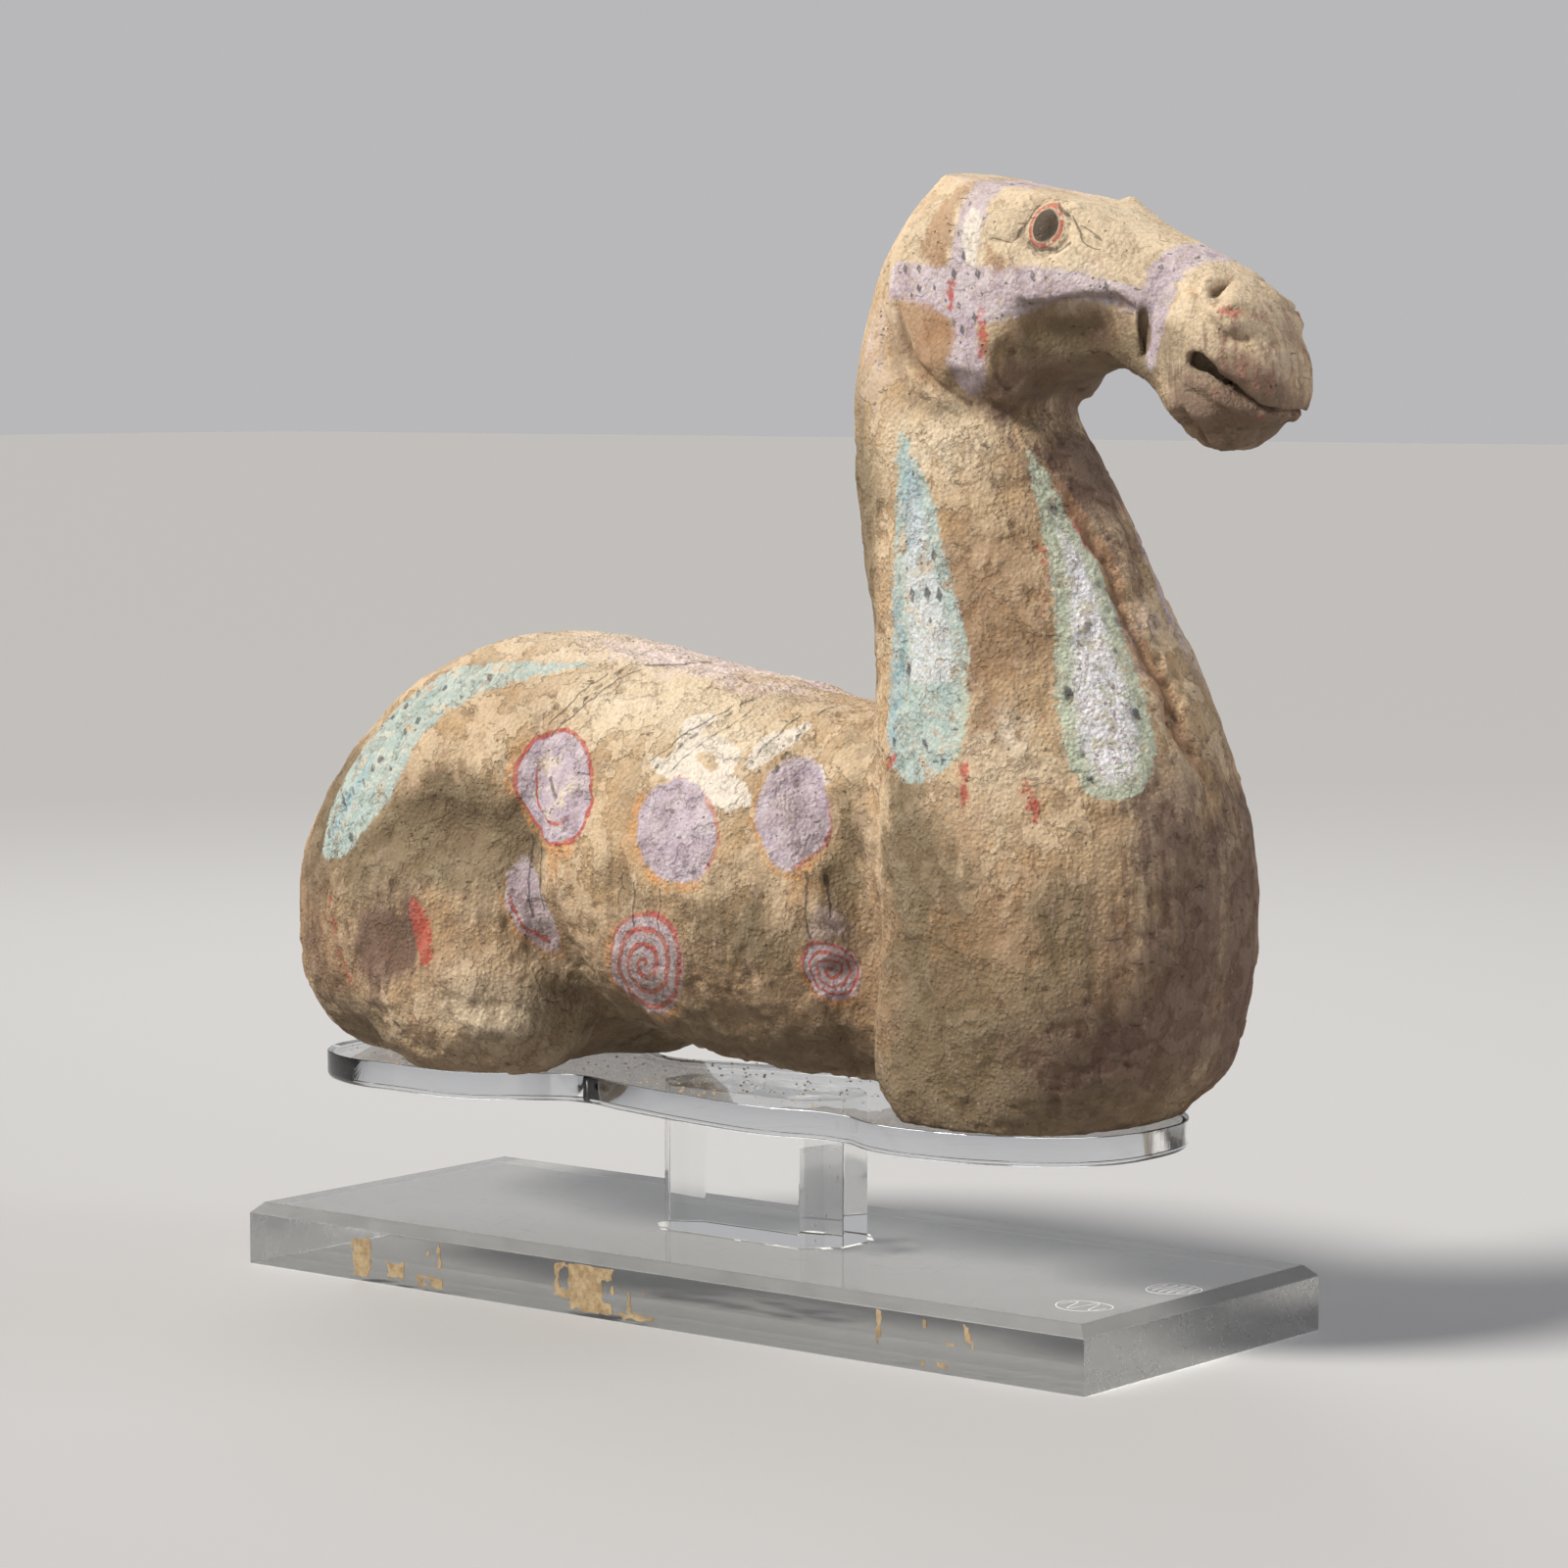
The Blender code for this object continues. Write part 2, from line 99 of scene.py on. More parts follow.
# How fast carving fades as the surface turns away, the share of a line's length
# over which it starts and ends, and the snout's stretch that is carved all round
FACING_GAIN = 1.7
LINE_ENDS = 0.2
LINE_START = 0.35
SNOUT = (64.0, 66.5)
SNOUT_TIP = 68

# Hollows and swellings of head and body, seen from the side: place, radii,
# depth, turn in degrees
SIDE_HOLLOWS = [
    ((43, 93), (4.6, 4.2), 0.45, 0), ((43, 93.2), (1.9, 2.5), -0.55, 0),
    ((61.2, 79.3), (1.6, 0.9), 1.5, -20), ((64.4, 85.8), (1.7, 1.4), -0.15, 0),
    ((32, 80), (3.4, 2.6), -0.5, 0), ((39.6, 79.6), (3.8, 3.2), 0.6, 0), ((-30, 27.2), (9.5, 5), 0.9, -6),
    ((-38, 26), (4, 3), 0.5, 0), ((-35, 14.6), (4.6, 5.6), 0.7, 20), ((-26, 11.5), (5.4, 4.6), -0.8, 0),
    ((-23, 6.4), (5.6, 3), -0.7, 0), ((-41, 5.5), (4.2, 2.6), 0.6, 12), ((-4.2, 24.4), (3, 3), 0.6, 0),
    ((10, 9), (5, 3.2), 0.5, 0), ((-8, 9), (3.4, 2.4), 0.5, 0), ((21.8, 15.6), (2.4, 1.6), 0.5, 0),
    ((30, 21), (3.6, 5.5), 0.4, 0), ((42, 12), (4.4, 3.4), -0.4, 0),
]

EYE_PLACE = (43.1, 93.3)
EYE_RADII = (1.85, 2.2)
EYE_GROOVE = (0.9, -0.25)

# Flat cuts left by the maker's knife: a point on the flat, the way it faces,
# reach; in shares, on both sides; a flat fades over the last part of its reach
KNIFE_FLATS = [
    ((62, -5.6, 73.6), (0.15, -0.78, -0.6), 3.6), ((60, -4.6, 73), (-0.84, -0.3, -0.45), 3.2),
    ((65.4, -1.4, 71.9), (0.62, -0.1, -0.78), 2.6), ((40.8, -7.2, 79.2), (0.5, -0.8, -0.34), 4.4),
    ((35.2, -9, 77), (0.1, -0.86, -0.5), 3.4), ((27.6, -14.6, 3.6), (-0.62, -0.62, -0.48), 8),
]
FLAT_FADE = 0.8

# Torn seam down the front of the neck and chest: path of (aside, up), width,
# depth; the first fills the form's own groove
SEAM = [(-4.8, 65.9), (-3.6, 62.0), (-2.7, 58.6), (-3.6, 55.0), (-4.1, 52.3), (-3.0, 46.9), (-3.0, 41.2),
        (-1.2, 38.0), (0.6, 35.1), (0.9, 31.5)]
SEAM_CUTS = [
    ([(-2.6, 63.2), (0.4, 59.9), (-1.6, 53.1), (-1.0, 48.6), (-1.8, 43.2), (0.0, 33.8)], 1.8, -0.75),
    (SEAM, 1.7, 0.5),
    (SEAM, 0.7, 0.25),
]
SEAM_ENDS = 0.15
SEAM_WANDER = 0.7
SEAM_WANDER_SIZE = 0.012

# Wear of the clay: size of the pattern, height, seed
LUMPS = [(0.052, 0.0013, 3), (0.021, 0.00055, 5), (0.0085, 0.00028, 7)]
LAYER_SIZE = 0.034
LAYER_EDGE = (0.04, 0.09)
LAYER_STEP = 0.0009
LAYER_REGION = (0.25, 0.12)
FLAKE_SIZE = 0.010
FLAKE_EDGE = (0.30, 0.38)
FLAKE_STEP = 0.0007
BROKEN_UNDER = (0.0022, 0.016)
BROKEN_FROM = (0.4, 2.0)
PITS = 440
PIT_RADII = (0.0018, 0.0046)
PIT_SHRINK = (0.6, 1.0)
PIT_DEPTHS = (0.0006, 0.0022)
PIT_REGION = 0.05
PIT_SCATTER = 0.6
PIT_LIMIT = 0.05
SEEDS = {"pits": 11, "seam": 21, "layers": 31, "regions": 33, "flakes": 41, "under": 51, "pit regions": 61,
         "washes": (71, 72, 73), "films": 81, "glue": 91}

# The head is smoother than the body: where it begins and ends, and how much
# less it has of lumps, lost layers and flakes
HEAD_UP = (66.0, 78.0)
LUMPS_LESS = 0.8
LAYERS_LESS = 0.65
FLAKES_LESS = 0.6

# Crumbs of plaster on the chest, and a knob over the far eye: place, radius,
# height in metres
KNOBS = [
    ((41.6, -15.8, 41.4), 0.9, 0.0013), ((43.1, -15.5, 42), 0.9, 0.0013),
    ((44.6, -15.2, 41.2), 0.9, 0.0013), ((45.9, -15.1, 39.8), 0.9, 0.0013),
    ((43.2, -16, 39.4), 0.9, 0.0013), ((44.4, 5.8, 95.8), 1.6, 0.0036),
]

# Paint drawn over the skin as strips, by pigment and side (0 both, -1 near,
# 1 far): along, aside, up and half width at each point of a strip
STRIPS = {
    ("mint", 0): [
        [(-16.8, -8.2, 46.3, 0.2), (-24.5, -10.6, 45.3, 1.2), (-31.8, -11.9, 44, 2.7),
         (-37.3, -12.8, 42.2, 4.2), (-41.5, -14.6, 38.6, 5.2), (-44.8, -16.8, 33, 5.6),
         (-47.2, -17.9, 28.6, 5.2), (-49, -17.8, 25.6, 2.6)],
        [(27.5, -11.4, 71.6, 0.4), (28.4, -11.7, 69, 1.4), (30.2, -12.2, 63, 2.9), (31.6, -13.1, 56.2, 3.9),
         (33.6, -14.2, 49.6, 4.6), (33.6, -14.6, 45.1, 5.7), (33.6, -15.5, 41.8, 5.9)],
    ],
    ("sky", -1): [
        [(27.2, -12.1, 59, 0.3), (28.2, -12.7, 53, 1), (28.6, -13.2, 46.6, 1.5), (28.8, -13.9, 41, 1.1),
         (30.4, -14.6, 37.6, 0.3)],
        [(28, -11.6, 70, 0.3), (29.4, -12.1, 65, 1.5), (30.4, -12.6, 60, 1.1), (30.8, -13, 56, 0.3)],
        [(-43.4, -15.6, 36, 0.3), (-46, -16.8, 32, 1), (-48.4, -17.6, 27.6, 1.2), (-49.4, -17.6, 25.6, 0.6)],
    ],
    ("mint", -1): [
        [(39.8, -6.2, 70.4, 0.2), (41.4, -6.1, 67.6, 0.9), (43.8, -6.5, 63.1, 1.7), (46.4, -6.7, 58.7, 2.8),
         (48.5, -7.8, 54.3, 3.3), (50.2, -8.9, 50, 3.9), (51.8, -9.6, 45.6, 4.7), (53.4, -10.3, 41.3, 4.9),
         (54.2, -11, 39.2, 4.2)],
    ],
    ("mint", 1): [
        [(36.4, 8.2, 70.4, 0.2), (40, 9.4, 63.1, 1.6), (44.6, 10.8, 54.3, 3), (47.6, 12.6, 45.6, 4.2),
         (49, 13.6, 39.6, 4)],
    ],
    ("cream", -1): [
        [(-2.6, -16.3, 36.4, 0.5), (0.3, -16.4, 35.9, 1.3), (2.2, -16.4, 35.8, 1.6), (4.7, -16.8, 35, 1.2),
         (7.2, -17.1, 34.1, 1.9), (9.4, -17.1, 33.5, 1.9), (11.5, -16.9, 33, 0.7)],
        [(2.2, -16.4, 35.8, 1.2), (1.4, -15.4, 37.4, 1.6), (0.9, -14, 39.1, 1.3), (0.6, -12.8, 40.3, 1.6),
         (1.8, -12, 41, 0.9)],
        [(0.9, -14.6, 38.4, 0.8), (4.6, -14.1, 38.5, 1.2), (7.1, -14.7, 37.4, 1.3), (7.4, -16.6, 34.8, 0.9)],
        [(10.4, -14.6, 36.8, 1.1), (11.3, -12.4, 38.9, 1.6), (12.5, -11.4, 39.6, 1.2),
         (13.4, -9.6, 40.5, 0.7)],
        [(16.8, -11.7, 36.4, 0.5), (18.6, -12.3, 34.7, 0.6)],
    ],
    ("cream", 0): [
        [(35, -8.9, 95.4, 0.3), (35.2, -9.6, 93.8, 1), (35.3, -10, 91.6, 1.1), (35.6, -10.2, 89.4, 0.5)],
    ],
    ("umber", -1): [
        [(41, -5.4, 68.6, 0.6), (43.1, -4.8, 65.9, 1.2), (48, -2.7, 58.6, 1.2), (51.4, -4.1, 52.3, 1.3),
         (54.3, -3, 46.9, 1.5), (56.7, -3, 41.2, 1.4), (59, 0.6, 35.1, 1)],
    ],
    ("lavender", 0): [
        [(47.1, 3.4, 60, 0.8), (49.3, 3.8, 55.9, 1.8), (52, 3.2, 51.6, 2)],
        [(34.2, 0, 99, 2), (34.4, -5.4, 97.8, 1.7), (35, -9, 94.6, 1.5), (34.7, -10.2, 90.6, 1.6),
         (34.3, -10.3, 87.9, 1.6)],
        [(25.4, -9.6, 87.9, 1.9), (30.2, -10.3, 87.1, 2.3), (35.5, -10.3, 86, 3), (40.6, -9.7, 86.6, 2.7),
         (45.4, -8.6, 87, 1.9), (49.6, -7.6, 86.4, 1.5), (53.6, -6.8, 85.4, 1.5)],
        [(34.6, -10.3, 83, 1.4), (35, -10.2, 79.6, 2.2), (35, -9.8, 76.6, 1.6)],
        [(58.4, 0, 90.6, 2), (57.6, -3.4, 90, 2), (56.4, -5.4, 88.3, 1.9), (55.8, -6.1, 85.6, 1.7),
         (55.6, -6.2, 82.6, 1.2), (55.2, -5.6, 79.4, 1)],
        [(44.6, -5, 63.4, 0.3), (48, -5.6, 57, 0.8), (50.8, -4.4, 51, 1), (53.4, -4.8, 45.4, 0.6)],
    ],
    ("umber", 0): [
        [(32.4, -6.4, 97.4, 0.7), (31.8, -9.2, 95, 1.3), (30.8, -10.1, 91.4, 1.9), (31.2, -10.2, 90.2, 1.3)],
        [(26.2, -10.1, 84.9, 0.9), (29.6, -10.3, 83.6, 2), (31.4, -10.3, 81.6, 2.4),
         (29.6, -10.2, 79.6, 1.9)],
        [(37.2, -9.9, 90.6, 0.6), (38.8, -9.7, 89.4, 0.9), (40.6, -9.4, 88.9, 0.3)],
    ],
    ("red", -1): [
        [(-33, -21.2, 19.4, 0.7), (-32, -21.4, 17, 1.5), (-30.8, -21.4, 13.4, 1)],
        [(28.2, -15, 37.6, 0.5), (29.4, -14.9, 38.4, 0.4)],
        [(39.9, -17, 37.8, 0.7), (40.5, -17.2, 35, 0.6), (40.6, -17.3, 33.4, 0.3)],
        [(46.6, -15.9, 37, 0.4), (47.8, -16, 34.4, 0.7), (48.2, -16.2, 33, 0.3)],
        [(-47.9, -19.2, 19.4, 0.15), (-46.6, -19.6, 15.4, 0.35), (-44.8, -18.9, 9, 0.35)],
        [(1.4, -17, 35.2, 0.2), (2.4, -17.2, 35.3, 0.35), (3.4, -17.4, 35.1, 0.2)],
    ],
    ("red", 0): [
        [(43.6, -8.8, 60.4, 0.25), (44.2, -9.4, 57.4, 0.45), (45.2, -10.7, 53.2, 0.5)],
        [(45.6, -11.6, 48.6, 0.2), (46.4, -12.8, 44, 0.55), (47.8, -13.6, 41, 0.3)],
        [(43.6, -4.6, 66.4, 0.2), (45.4, -4.4, 61.6, 0.4), (47.2, -3.6, 58, 0.3)],
        [(36.7, -10.1, 84.8, 0.3), (37, -10.1, 81.6, 0.5), (36.6, -9.9, 79.6, 0.3)],
        [(33.2, -10.3, 88.6, 0.3), (32.9, -10.3, 86.4, 0.4), (33, -10.3, 85, 0.2)],
        [(61.6, -6.2, 77.3, 0.25), (63.4, -5.6, 75.9, 0.55), (65.4, -4.6, 74.5, 0.3), (67.4, -2, 73, 0.3)],
        [(62.7, -6.3, 84.4, 0.25), (64.4, -6.4, 84.2, 0.4), (66, -4.6, 84.3, 0.3)],
        [(62.5, -4.6, 87.4, 0.4), (62.9, -5.4, 86.3, 0.5)],
    ],
}

# Soft washes of paint and dirt, and of painted shade where noted below, by pigment and side: place, radii,
# strength
WASHES = {
    ("buff", 0): [
        ((44, -6, 90), (22, 14, 9), 1.3), ((-25, -18, 9), (8, 6, 5), 1.3), ((62, -4, 79), (7, 8, 9), 0.8),
        ((30, -9, 71), (9, 8, 4.6), 1.1), ((-4, -12, 41), (17, 7, 4), 1.4),
        ((-14, -2, 47), (24, 9, 4), 1.1), ((-21, -18, 7.4), (5, 5, 4), 0.6),
        ((25, -12, 20), (1.4, 4, 13), 0.6), ((43, -15.6, 37.6), (7, 5, 6.4), 1),
    ],
    ("olive", 0): [
        # Partly painted shade over stain: the olive washes in the haunch's hollow, low on the belly, chest
        # and rump, under the jaw and at the throat; the one along the neck's rear edge is painted shade
        ((-29.5, -17, 27.6), (10, 7, 5.4), 2), ((-41, -19.5, 23.4), (8, 6, 5.4), 1),
        ((-52, -12, 27), (6, 10, 12), 1.3), ((57, -6, 80), (3, 4, 4), 0.6),
        ((-21.4, -16.5, 24), (3.6, 6, 6), 0.8), ((-4.5, -19.5, 23), (7, 6, 3.4), 0.7),
        ((12, -18.5, 19), (9, 7, 5.4), 0.95), ((4, -14, 6.4), (24, 10, 5), 1.1),
        ((22.4, -13, 27), (2.4, 6, 9), 1), ((-14.5, -14, 10), (5, 6, 7), 0.7),
        ((35, -17.8, 24), (5.4, 6, 10), 1.6), ((31, -16.6, 33), (3.4, 4, 6), 0.8),
        ((51.4, -16, 22), (4.6, 6, 10), 0.9), ((44, -18, 13), (6, 6, 6), 0.6),
        ((40, -16, 2.6), (20, 9, 4.6), 1), ((19, -4, 66), (3.4, 7, 14), 0.55),
        ((47, -4, 79.6), (9, 6, 3.2), 0.9), ((-46, -17, 4), (12, 8, 5), 1),
        ((33, -8, 74.2), (6, 5, 1.8), 0.8), ((43.5, -3, 69), (4, 5, 6), 0.7),
        ((45, -4, 80.4), (11, 7, 3.6), 0.9), ((44, -3, 71), (5, 6, 7), 0.8),
        ((21, -8, 58), (4.4, 7, 18), 1.3), ((44, -17, 8), (16, 8, 7), 0.8),
    ],
    ("plum", 0): [
        # Partly painted shade over stain: the plum washes under the jaw, on the chin, at the throat and low
        # on the chest
        ((40, -6, 77), (7, 6, 3), 1.2), ((63.6, -4, 74), (6, 8, 4.5), 2), ((64.6, -4, 83), (6, 7, 8), 0.25),
        ((44, -2, 68.5), (5.5, 7, 6.5), 1.6), ((60, -5, 23), (5, 9, 14), 1.2),
        ((58.4, -8, 9), (7, 8, 7), 1), ((51, -14.5, 8), (6, 6, 6), 0.9), ((58, -9, 34), (3, 6, 5), 0.6),
        ((-36.6, -20.8, 14.6), (4.4, 5, 5), 2.6), ((-51, -15.4, 14), (5, 8, 10), 0.8),
        ((65.4, -3.4, 79), (3.4, 5, 5), 0.3), ((38.6, -13.4, 50), (4.6, 5, 7), 0.35),
        ((47, 0, 58), (5, 4.5, 6), 0.5), ((50, -5.4, 82.6), (5, 4, 3), 0.45),
        ((-21, -14.6, 38), (2.4, 4, 4.4), 0.5),
    ],
    ("umber", 0): [
        # Partly painted shade over stain: the umber washes under the jaw, in the haunch's hollow and low on
        # the belly and chest
        ((29.6, -9.8, 80.6), (6, 5, 4.6), 0.85), ((45, -6.6, 81.4), (9, 6, 4.4), 1.5),
        ((-34, -19, 32), (7, 5, 4), 0.9), ((-38, -20, 12), (14, 7, 8), 0.6),
        ((40.6, -14, 47), (4, 4, 6), 0.35), ((62.6, -6, 73), (3.4, 4, 2.6), 0.45),
        ((55, -6, 90), (6, 5, 4), 0.4), ((2, -18, 9), (24, 8, 6), 0.6), ((44, -15, 10), (28, 16, 18), 1.5),
        ((43, -16, 6), (20, 12, 7), 1.4), ((39, -12, 52), (9, 8, 16), 1),
        ((-53, -10, 17), (7, 14, 14), 1.6), ((65, -3, 81), (6, 7, 7), 0.4),
        ((-10, -18, 18), (30, 8, 8), 0.6),
    ],
    ("red", 0): [
        ((66, -3, 81), (4, 6, 6), 0.3), ((35, -16.6, 38.4), (3.4, 3, 3), 0.2),
        ((20.4, -15.2, 12), (2.6, 3, 4.6), 0.25), ((48.6, -7.4, 89.4), (2.2, 2.4, 1.8), 0.35),
        ((6, -5, 44.6), (7, 4, 3), 0.25), ((66.6, -2, 76.4), (2.4, 3, 2.4), 0.3),
    ],
    ("cream", -1): [
        ((5, -13.4, 40), (7, 5, 2.4), 0.5), ((-9.5, -13, 42), (6, 6, 3), 0.45),
        ((43.6, -15.4, 41), (3, 3, 1.8), 0.6),
    ],
    ("cream", 1): [
        ((-2, 13.6, 41), (9, 6, 4), 0.7),
    ],
    ("cream", 0): [
        ((31, -10.8, 70), (3.6, 4, 2.4), 0.5), ((34.8, -9.8, 93), (1.6, 3, 3.4), 0.7),
        ((47.6, -7.2, 88.6), (2.6, 3, 1.6), 0.6),
    ],
    ("lavender", 0): [
        ((-12, -2.6, 47.4), (16, 5, 3), 0.8), ((4, -3, 44.8), (13, 4.4, 3), 0.8),
        ((22, -9.4, 82), (3.2, 5, 7), 0.5), ((49.6, 0, 51.6), (4.4, 2.6, 4.6), 0.6),
        ((53, -5, 47), (1.6, 1.6, 7), 0.6), ((20.6, -16, 20), (3, 4, 1.8), 0.7),
        ((36.6, -4, 98.2), (8, 4.6, 1.6), 0.6),
    ],
    ("orange", 0): [
        ((-14.4, -17.4, 26.4), (2.4, 4, 3.2), 0.9), ((-21.6, -15.4, 35), (1.8, 4, 5), 0.5),
        ((-2.6, -18.8, 26.6), (2, 4, 3.4), 0.7), ((18.6, -16.6, 25), (2.4, 4, 3.6), 0.7),
        ((27, -13.6, 34), (2.6, 4, 5), 0.45), ((38.8, -17.4, 20), (3, 4, 3.4), 0.45),
        ((46, -15.6, 30), (4.6, 4, 4), 0.4), ((60.6, -6.2, 85.6), (1.2, 2, 2.2), 1),
        ((-48.6, -18, 14), (2.6, 5, 6), 0.4),
    ],
}
OUTSIDE = -4.0
WASH_DRIFT = 1.9
WASH_SIZE = 0.020
CAVITY_PASSES = 6

# Painted roundels seen from the side: kind, place, radii (long axis first),
# the long axis's lean from +X in degrees
ROUNDELS = [
    ("ringed", (-15.9, 32.9), (6.4, 5.55), 128), ("plain", (3.3, 29.4), (6, 4.95), 141.6),
    ("plain", (16, 31.9), (5.95, 3.1), 107.9), ("striped", (-19.5, 19.8), (5.35, 2.1), 110.3),
    ("spiral", (-1.2, 14.8), (6.8, 4.87), 43.6), ("spiral", (20.9, 15.5), (3.3, 2.5), 112),
]

# Strokes of ink on the near side, seen from the side: start, end, half width,
# broken into dashes
INK_STROKES = [
    ((-12.1, 45.8), (-18, 38.6), 0.13, 0), ((-13.8, 45.5), (-17.4, 39.5), 0.24, 1),
    ((-15, 45.2), (-18.8, 39.6), 0.12, 0), ((4.6, 43), (-2.3, 35.3), 0.22, 1),
    ((3.2, 42.4), (-2.8, 36.6), 0.12, 0), ((5.8, 42), (0.4, 35.4), 0.12, 0.6),
    ((13.5, 42.6), (13, 35.7), 0.22, 1), ((11.6, 41.6), (10.4, 37.4), 0.12, 0.3),
    ((-20.4, 27.3), (-19.3, 18.4), 0.14, 0), ((-18.6, 26.8), (-17.9, 19.6), 0.11, 0),
    ((-1.7, 23.8), (-1.9, 19), 0.13, 0), ((-4.4, 24.6), (-4.4, 21), 0.11, 0),
    ((1.9, 23.5), (1.8, 18.6), 0.13, 0), ((19.2, 25.9), (19.5, 19), 0.16, 0),
    ((20.6, 25.6), (21.2, 21.4), 0.11, 0), ((-12, 46.3), (-7.6, 46.2), 0.12, 0),
    ((-16.9, 34), (-15.4, 32.2), 0.3, 0), ((37.6, 91.9), (39.7, 91.5), 0.08, 0),
    ((39.7, 91.5), (40.7, 93.4), 0.1, 0), ((40.9, 93.6), (41.4, 95.4), 0.16, 0),
    ((43.7, 95.7), (45.4, 94.4), 0.12, 0), ((45.8, 94.3), (47.7, 91.7), 0.08, 0),
    ((47.7, 91.7), (49.4, 90.7), 0.08, 0), ((47, 93.2), (49.5, 91.9), 0.07, 0),
    ((41.3, 91.6), (42.4, 90.8), 0.26, 0), ((42.4, 90.8), (44.6, 90.8), 0.24, 0),
    ((44.8, 90.5), (46.4, 91.3), 0.14, 0),
]

# Grain of the clay: its ground and its grit
GRAIN_FINE = 0.0019
GRAIN_GRIT = 0.0031

# Patterns in clay and paint: width of the forms, detail, roughness
RAGGED = (0.0046, 4.0, 0.72)
SPOTS = (0.0026, 4.0, 0.75)
BLOTCH = (0.0125, 5.0, 0.66)
BROAD = (0.042, 3.0, 0.6)
COVER = (0.027, 7.0, 0.63)
DRIPS = (0.006, 3.0, 0.6)
DRIP_STRETCH = (1.0, 1.0, 0.13)
UNSTEADY_HAND = (0.016, 2.0, 0.6)
HAND_REACH = 1.3
CREVICES = (0.016, 5.0, 0.66)
CREVICE_STRETCH = (1.0, 1.0, 3.2)
HOLE_SPACING = 0.0052
CLAY_RELIEF = 0.0012

# Lozenges of dark paint: spacing, radius, lean, stretch
UPRIGHT_LOZENGES = (0.0100, 0.29, 0.25, 0.55)
LEANING_LOZENGES = (0.0105, 0.31, 0.85, 0.5)
HARNESS_STUDS = (0.0078, 0.27, 0.25, 0.6)

# Colours of the clay, the dirt and the painted shade, and the pigments
CLAY = (0.52, 0.36, 0.21)
CLAY_OCHRE = (0.49, 0.325, 0.165)
CLAY_BROWN = (0.39, 0.26, 0.15)
CLAY_PALE = (0.71, 0.59, 0.43)
CLAY_GREY = (0.35, 0.27, 0.175)
# Grime, and painted shade laid in dips, between the grit and on faces that turn down
GRIME_AND_SHADE = (0.16, 0.11, 0.07)
CRACK = (0.07, 0.045, 0.03)
INK = (0.035, 0.033, 0.036)
HARNESS_DOTS = (0.085, 0.09, 0.10)
IRIS = (0.03, 0.018, 0.014)
EYE_RED = (0.40, 0.08, 0.055)
WASH_COLOURS = [("buff", (0.68, 0.56, 0.40), 0.8), ("umber", (0.27, 0.165, 0.09), 0.85),
                ("olive", (0.16, 0.12, 0.068), 0.88), ("plum", (0.14, 0.082, 0.062), 0.9),
                ("orange", (0.56, 0.29, 0.12), 0.7), ("cream", (0.78, 0.69, 0.56), 0.9),
                ("lavender", (0.74, 0.61, 0.62), 0.8), ("red", (0.46, 0.15, 0.11), 0.8)]
LAVENDER = (0.41, 0.33, 0.41)
LAVENDER_PALE = (0.56, 0.49, 0.55)
MINT = (0.33, 0.44, 0.42)
MINT_PALE = (0.49, 0.58, 0.55)
LIME = (0.54, 0.56, 0.38)
HEART = (0.80, 0.77, 0.82)
SKY = (0.22, 0.37, 0.42)
SKY_PALE = (0.35, 0.49, 0.52)
SLIP = (0.73, 0.66, 0.57)
STREAK = (0.13, 0.075, 0.055)
RED = (0.44, 0.07, 0.05)
ORANGE = (0.66, 0.30, 0.10)
UMBER = (0.36, 0.20, 0.11)

# Outline of the plate on the near side, in shares: along, aside, is it a corner
PLATE_OUTLINE = [
    (-59.2, 0, False), (-57.6, -9.4, False), (-51.6, -14.2, False), (-41, -15.4, False),
    (-31, -14.9, False), (-25.4, -11.2, False), (-20.6, -8.8, False), (-12, -10.6, False), (0, -13, False),
    (11, -14.1, False), (18, -12.9, False), (22, -13.4, True), (27, -15.8, False), (33.4, -16.4, False),
    (42, -14.6, False), (50.2, -9.2, False), (52.8, 0, False),
]
PLATE_STEPS = 9
PLATE_TOP_EDGE = 0.0008
PLATE_FOOT_EDGE = 0.0042
EDGE_STEPS = 5
SLAB_EDGE = 0.0004
POST_EDGE = 0.0005

# Dried films on the slab's front face: boxes and holes as low and high corners
# (along, up), in metres
FILMS = [
    ([(-0.2268, 0.003, -0.2113, 0.027)], [(-0.2262, 0.018, -0.2245, 0.022)]),
    ([(-0.198, 0.005, -0.184, 0.015), (-0.173, 0.0025, -0.152, 0.0095), (-0.1565, 0.013, -0.1535, 0.0305),
      (-0.166, 0.020, -0.161, 0.025)], [(-0.168, 0.006, -0.163, 0.008)]),
    ([(-0.064, 0.010, -0.018, 0.0308), (-0.052, 0.003, -0.018, 0.020), (-0.018, 0.003, 0.013, 0.0065),
      (-0.008, 0.004, -0.0045, 0.020), (0.004, 0.018, 0.0062, 0.020)],
     [(-0.0595, 0.015, -0.0535, 0.027), (-0.0262, 0.011, -0.0205, 0.022)]),
    ([(0.1724, 0.014, 0.1775, 0.031), (0.1735, 0.010, 0.1755, 0.016)], []),
    ([(0.206, 0.022, 0.208, 0.029), (0.222, 0.016, 0.229, 0.019), (0.234, 0.020, 0.238, 0.029),
      (0.238, 0.015, 0.241, 0.021), (0.204, 0.003, 0.207, 0.006), (0.214, 0.0035, 0.223, 0.006)], []),
]
FILM_CELL = 0.0005
FILM_THICKNESS = 0.00035
FILM_RAGGED = 0.0016
FILM_GRAIN = 0.0045
FILM_MARGIN = 0.002
FILM_LOWEST = 0.001
FILM_HIGHEST = 0.0312

# Glue at the post's foot: how far it stands out, its ripples and their stretch,
# how much of each corner is cut off, the solid rim's width, thickness
GLUE_MARGIN = 0.0025
GLUE_RIPPLE = 0.007
GLUE_STRETCH = 0.45
GLUE_CORNER = 0.016
GLUE_RIM = 0.012
GLUE_THICKNESS = 0.0002

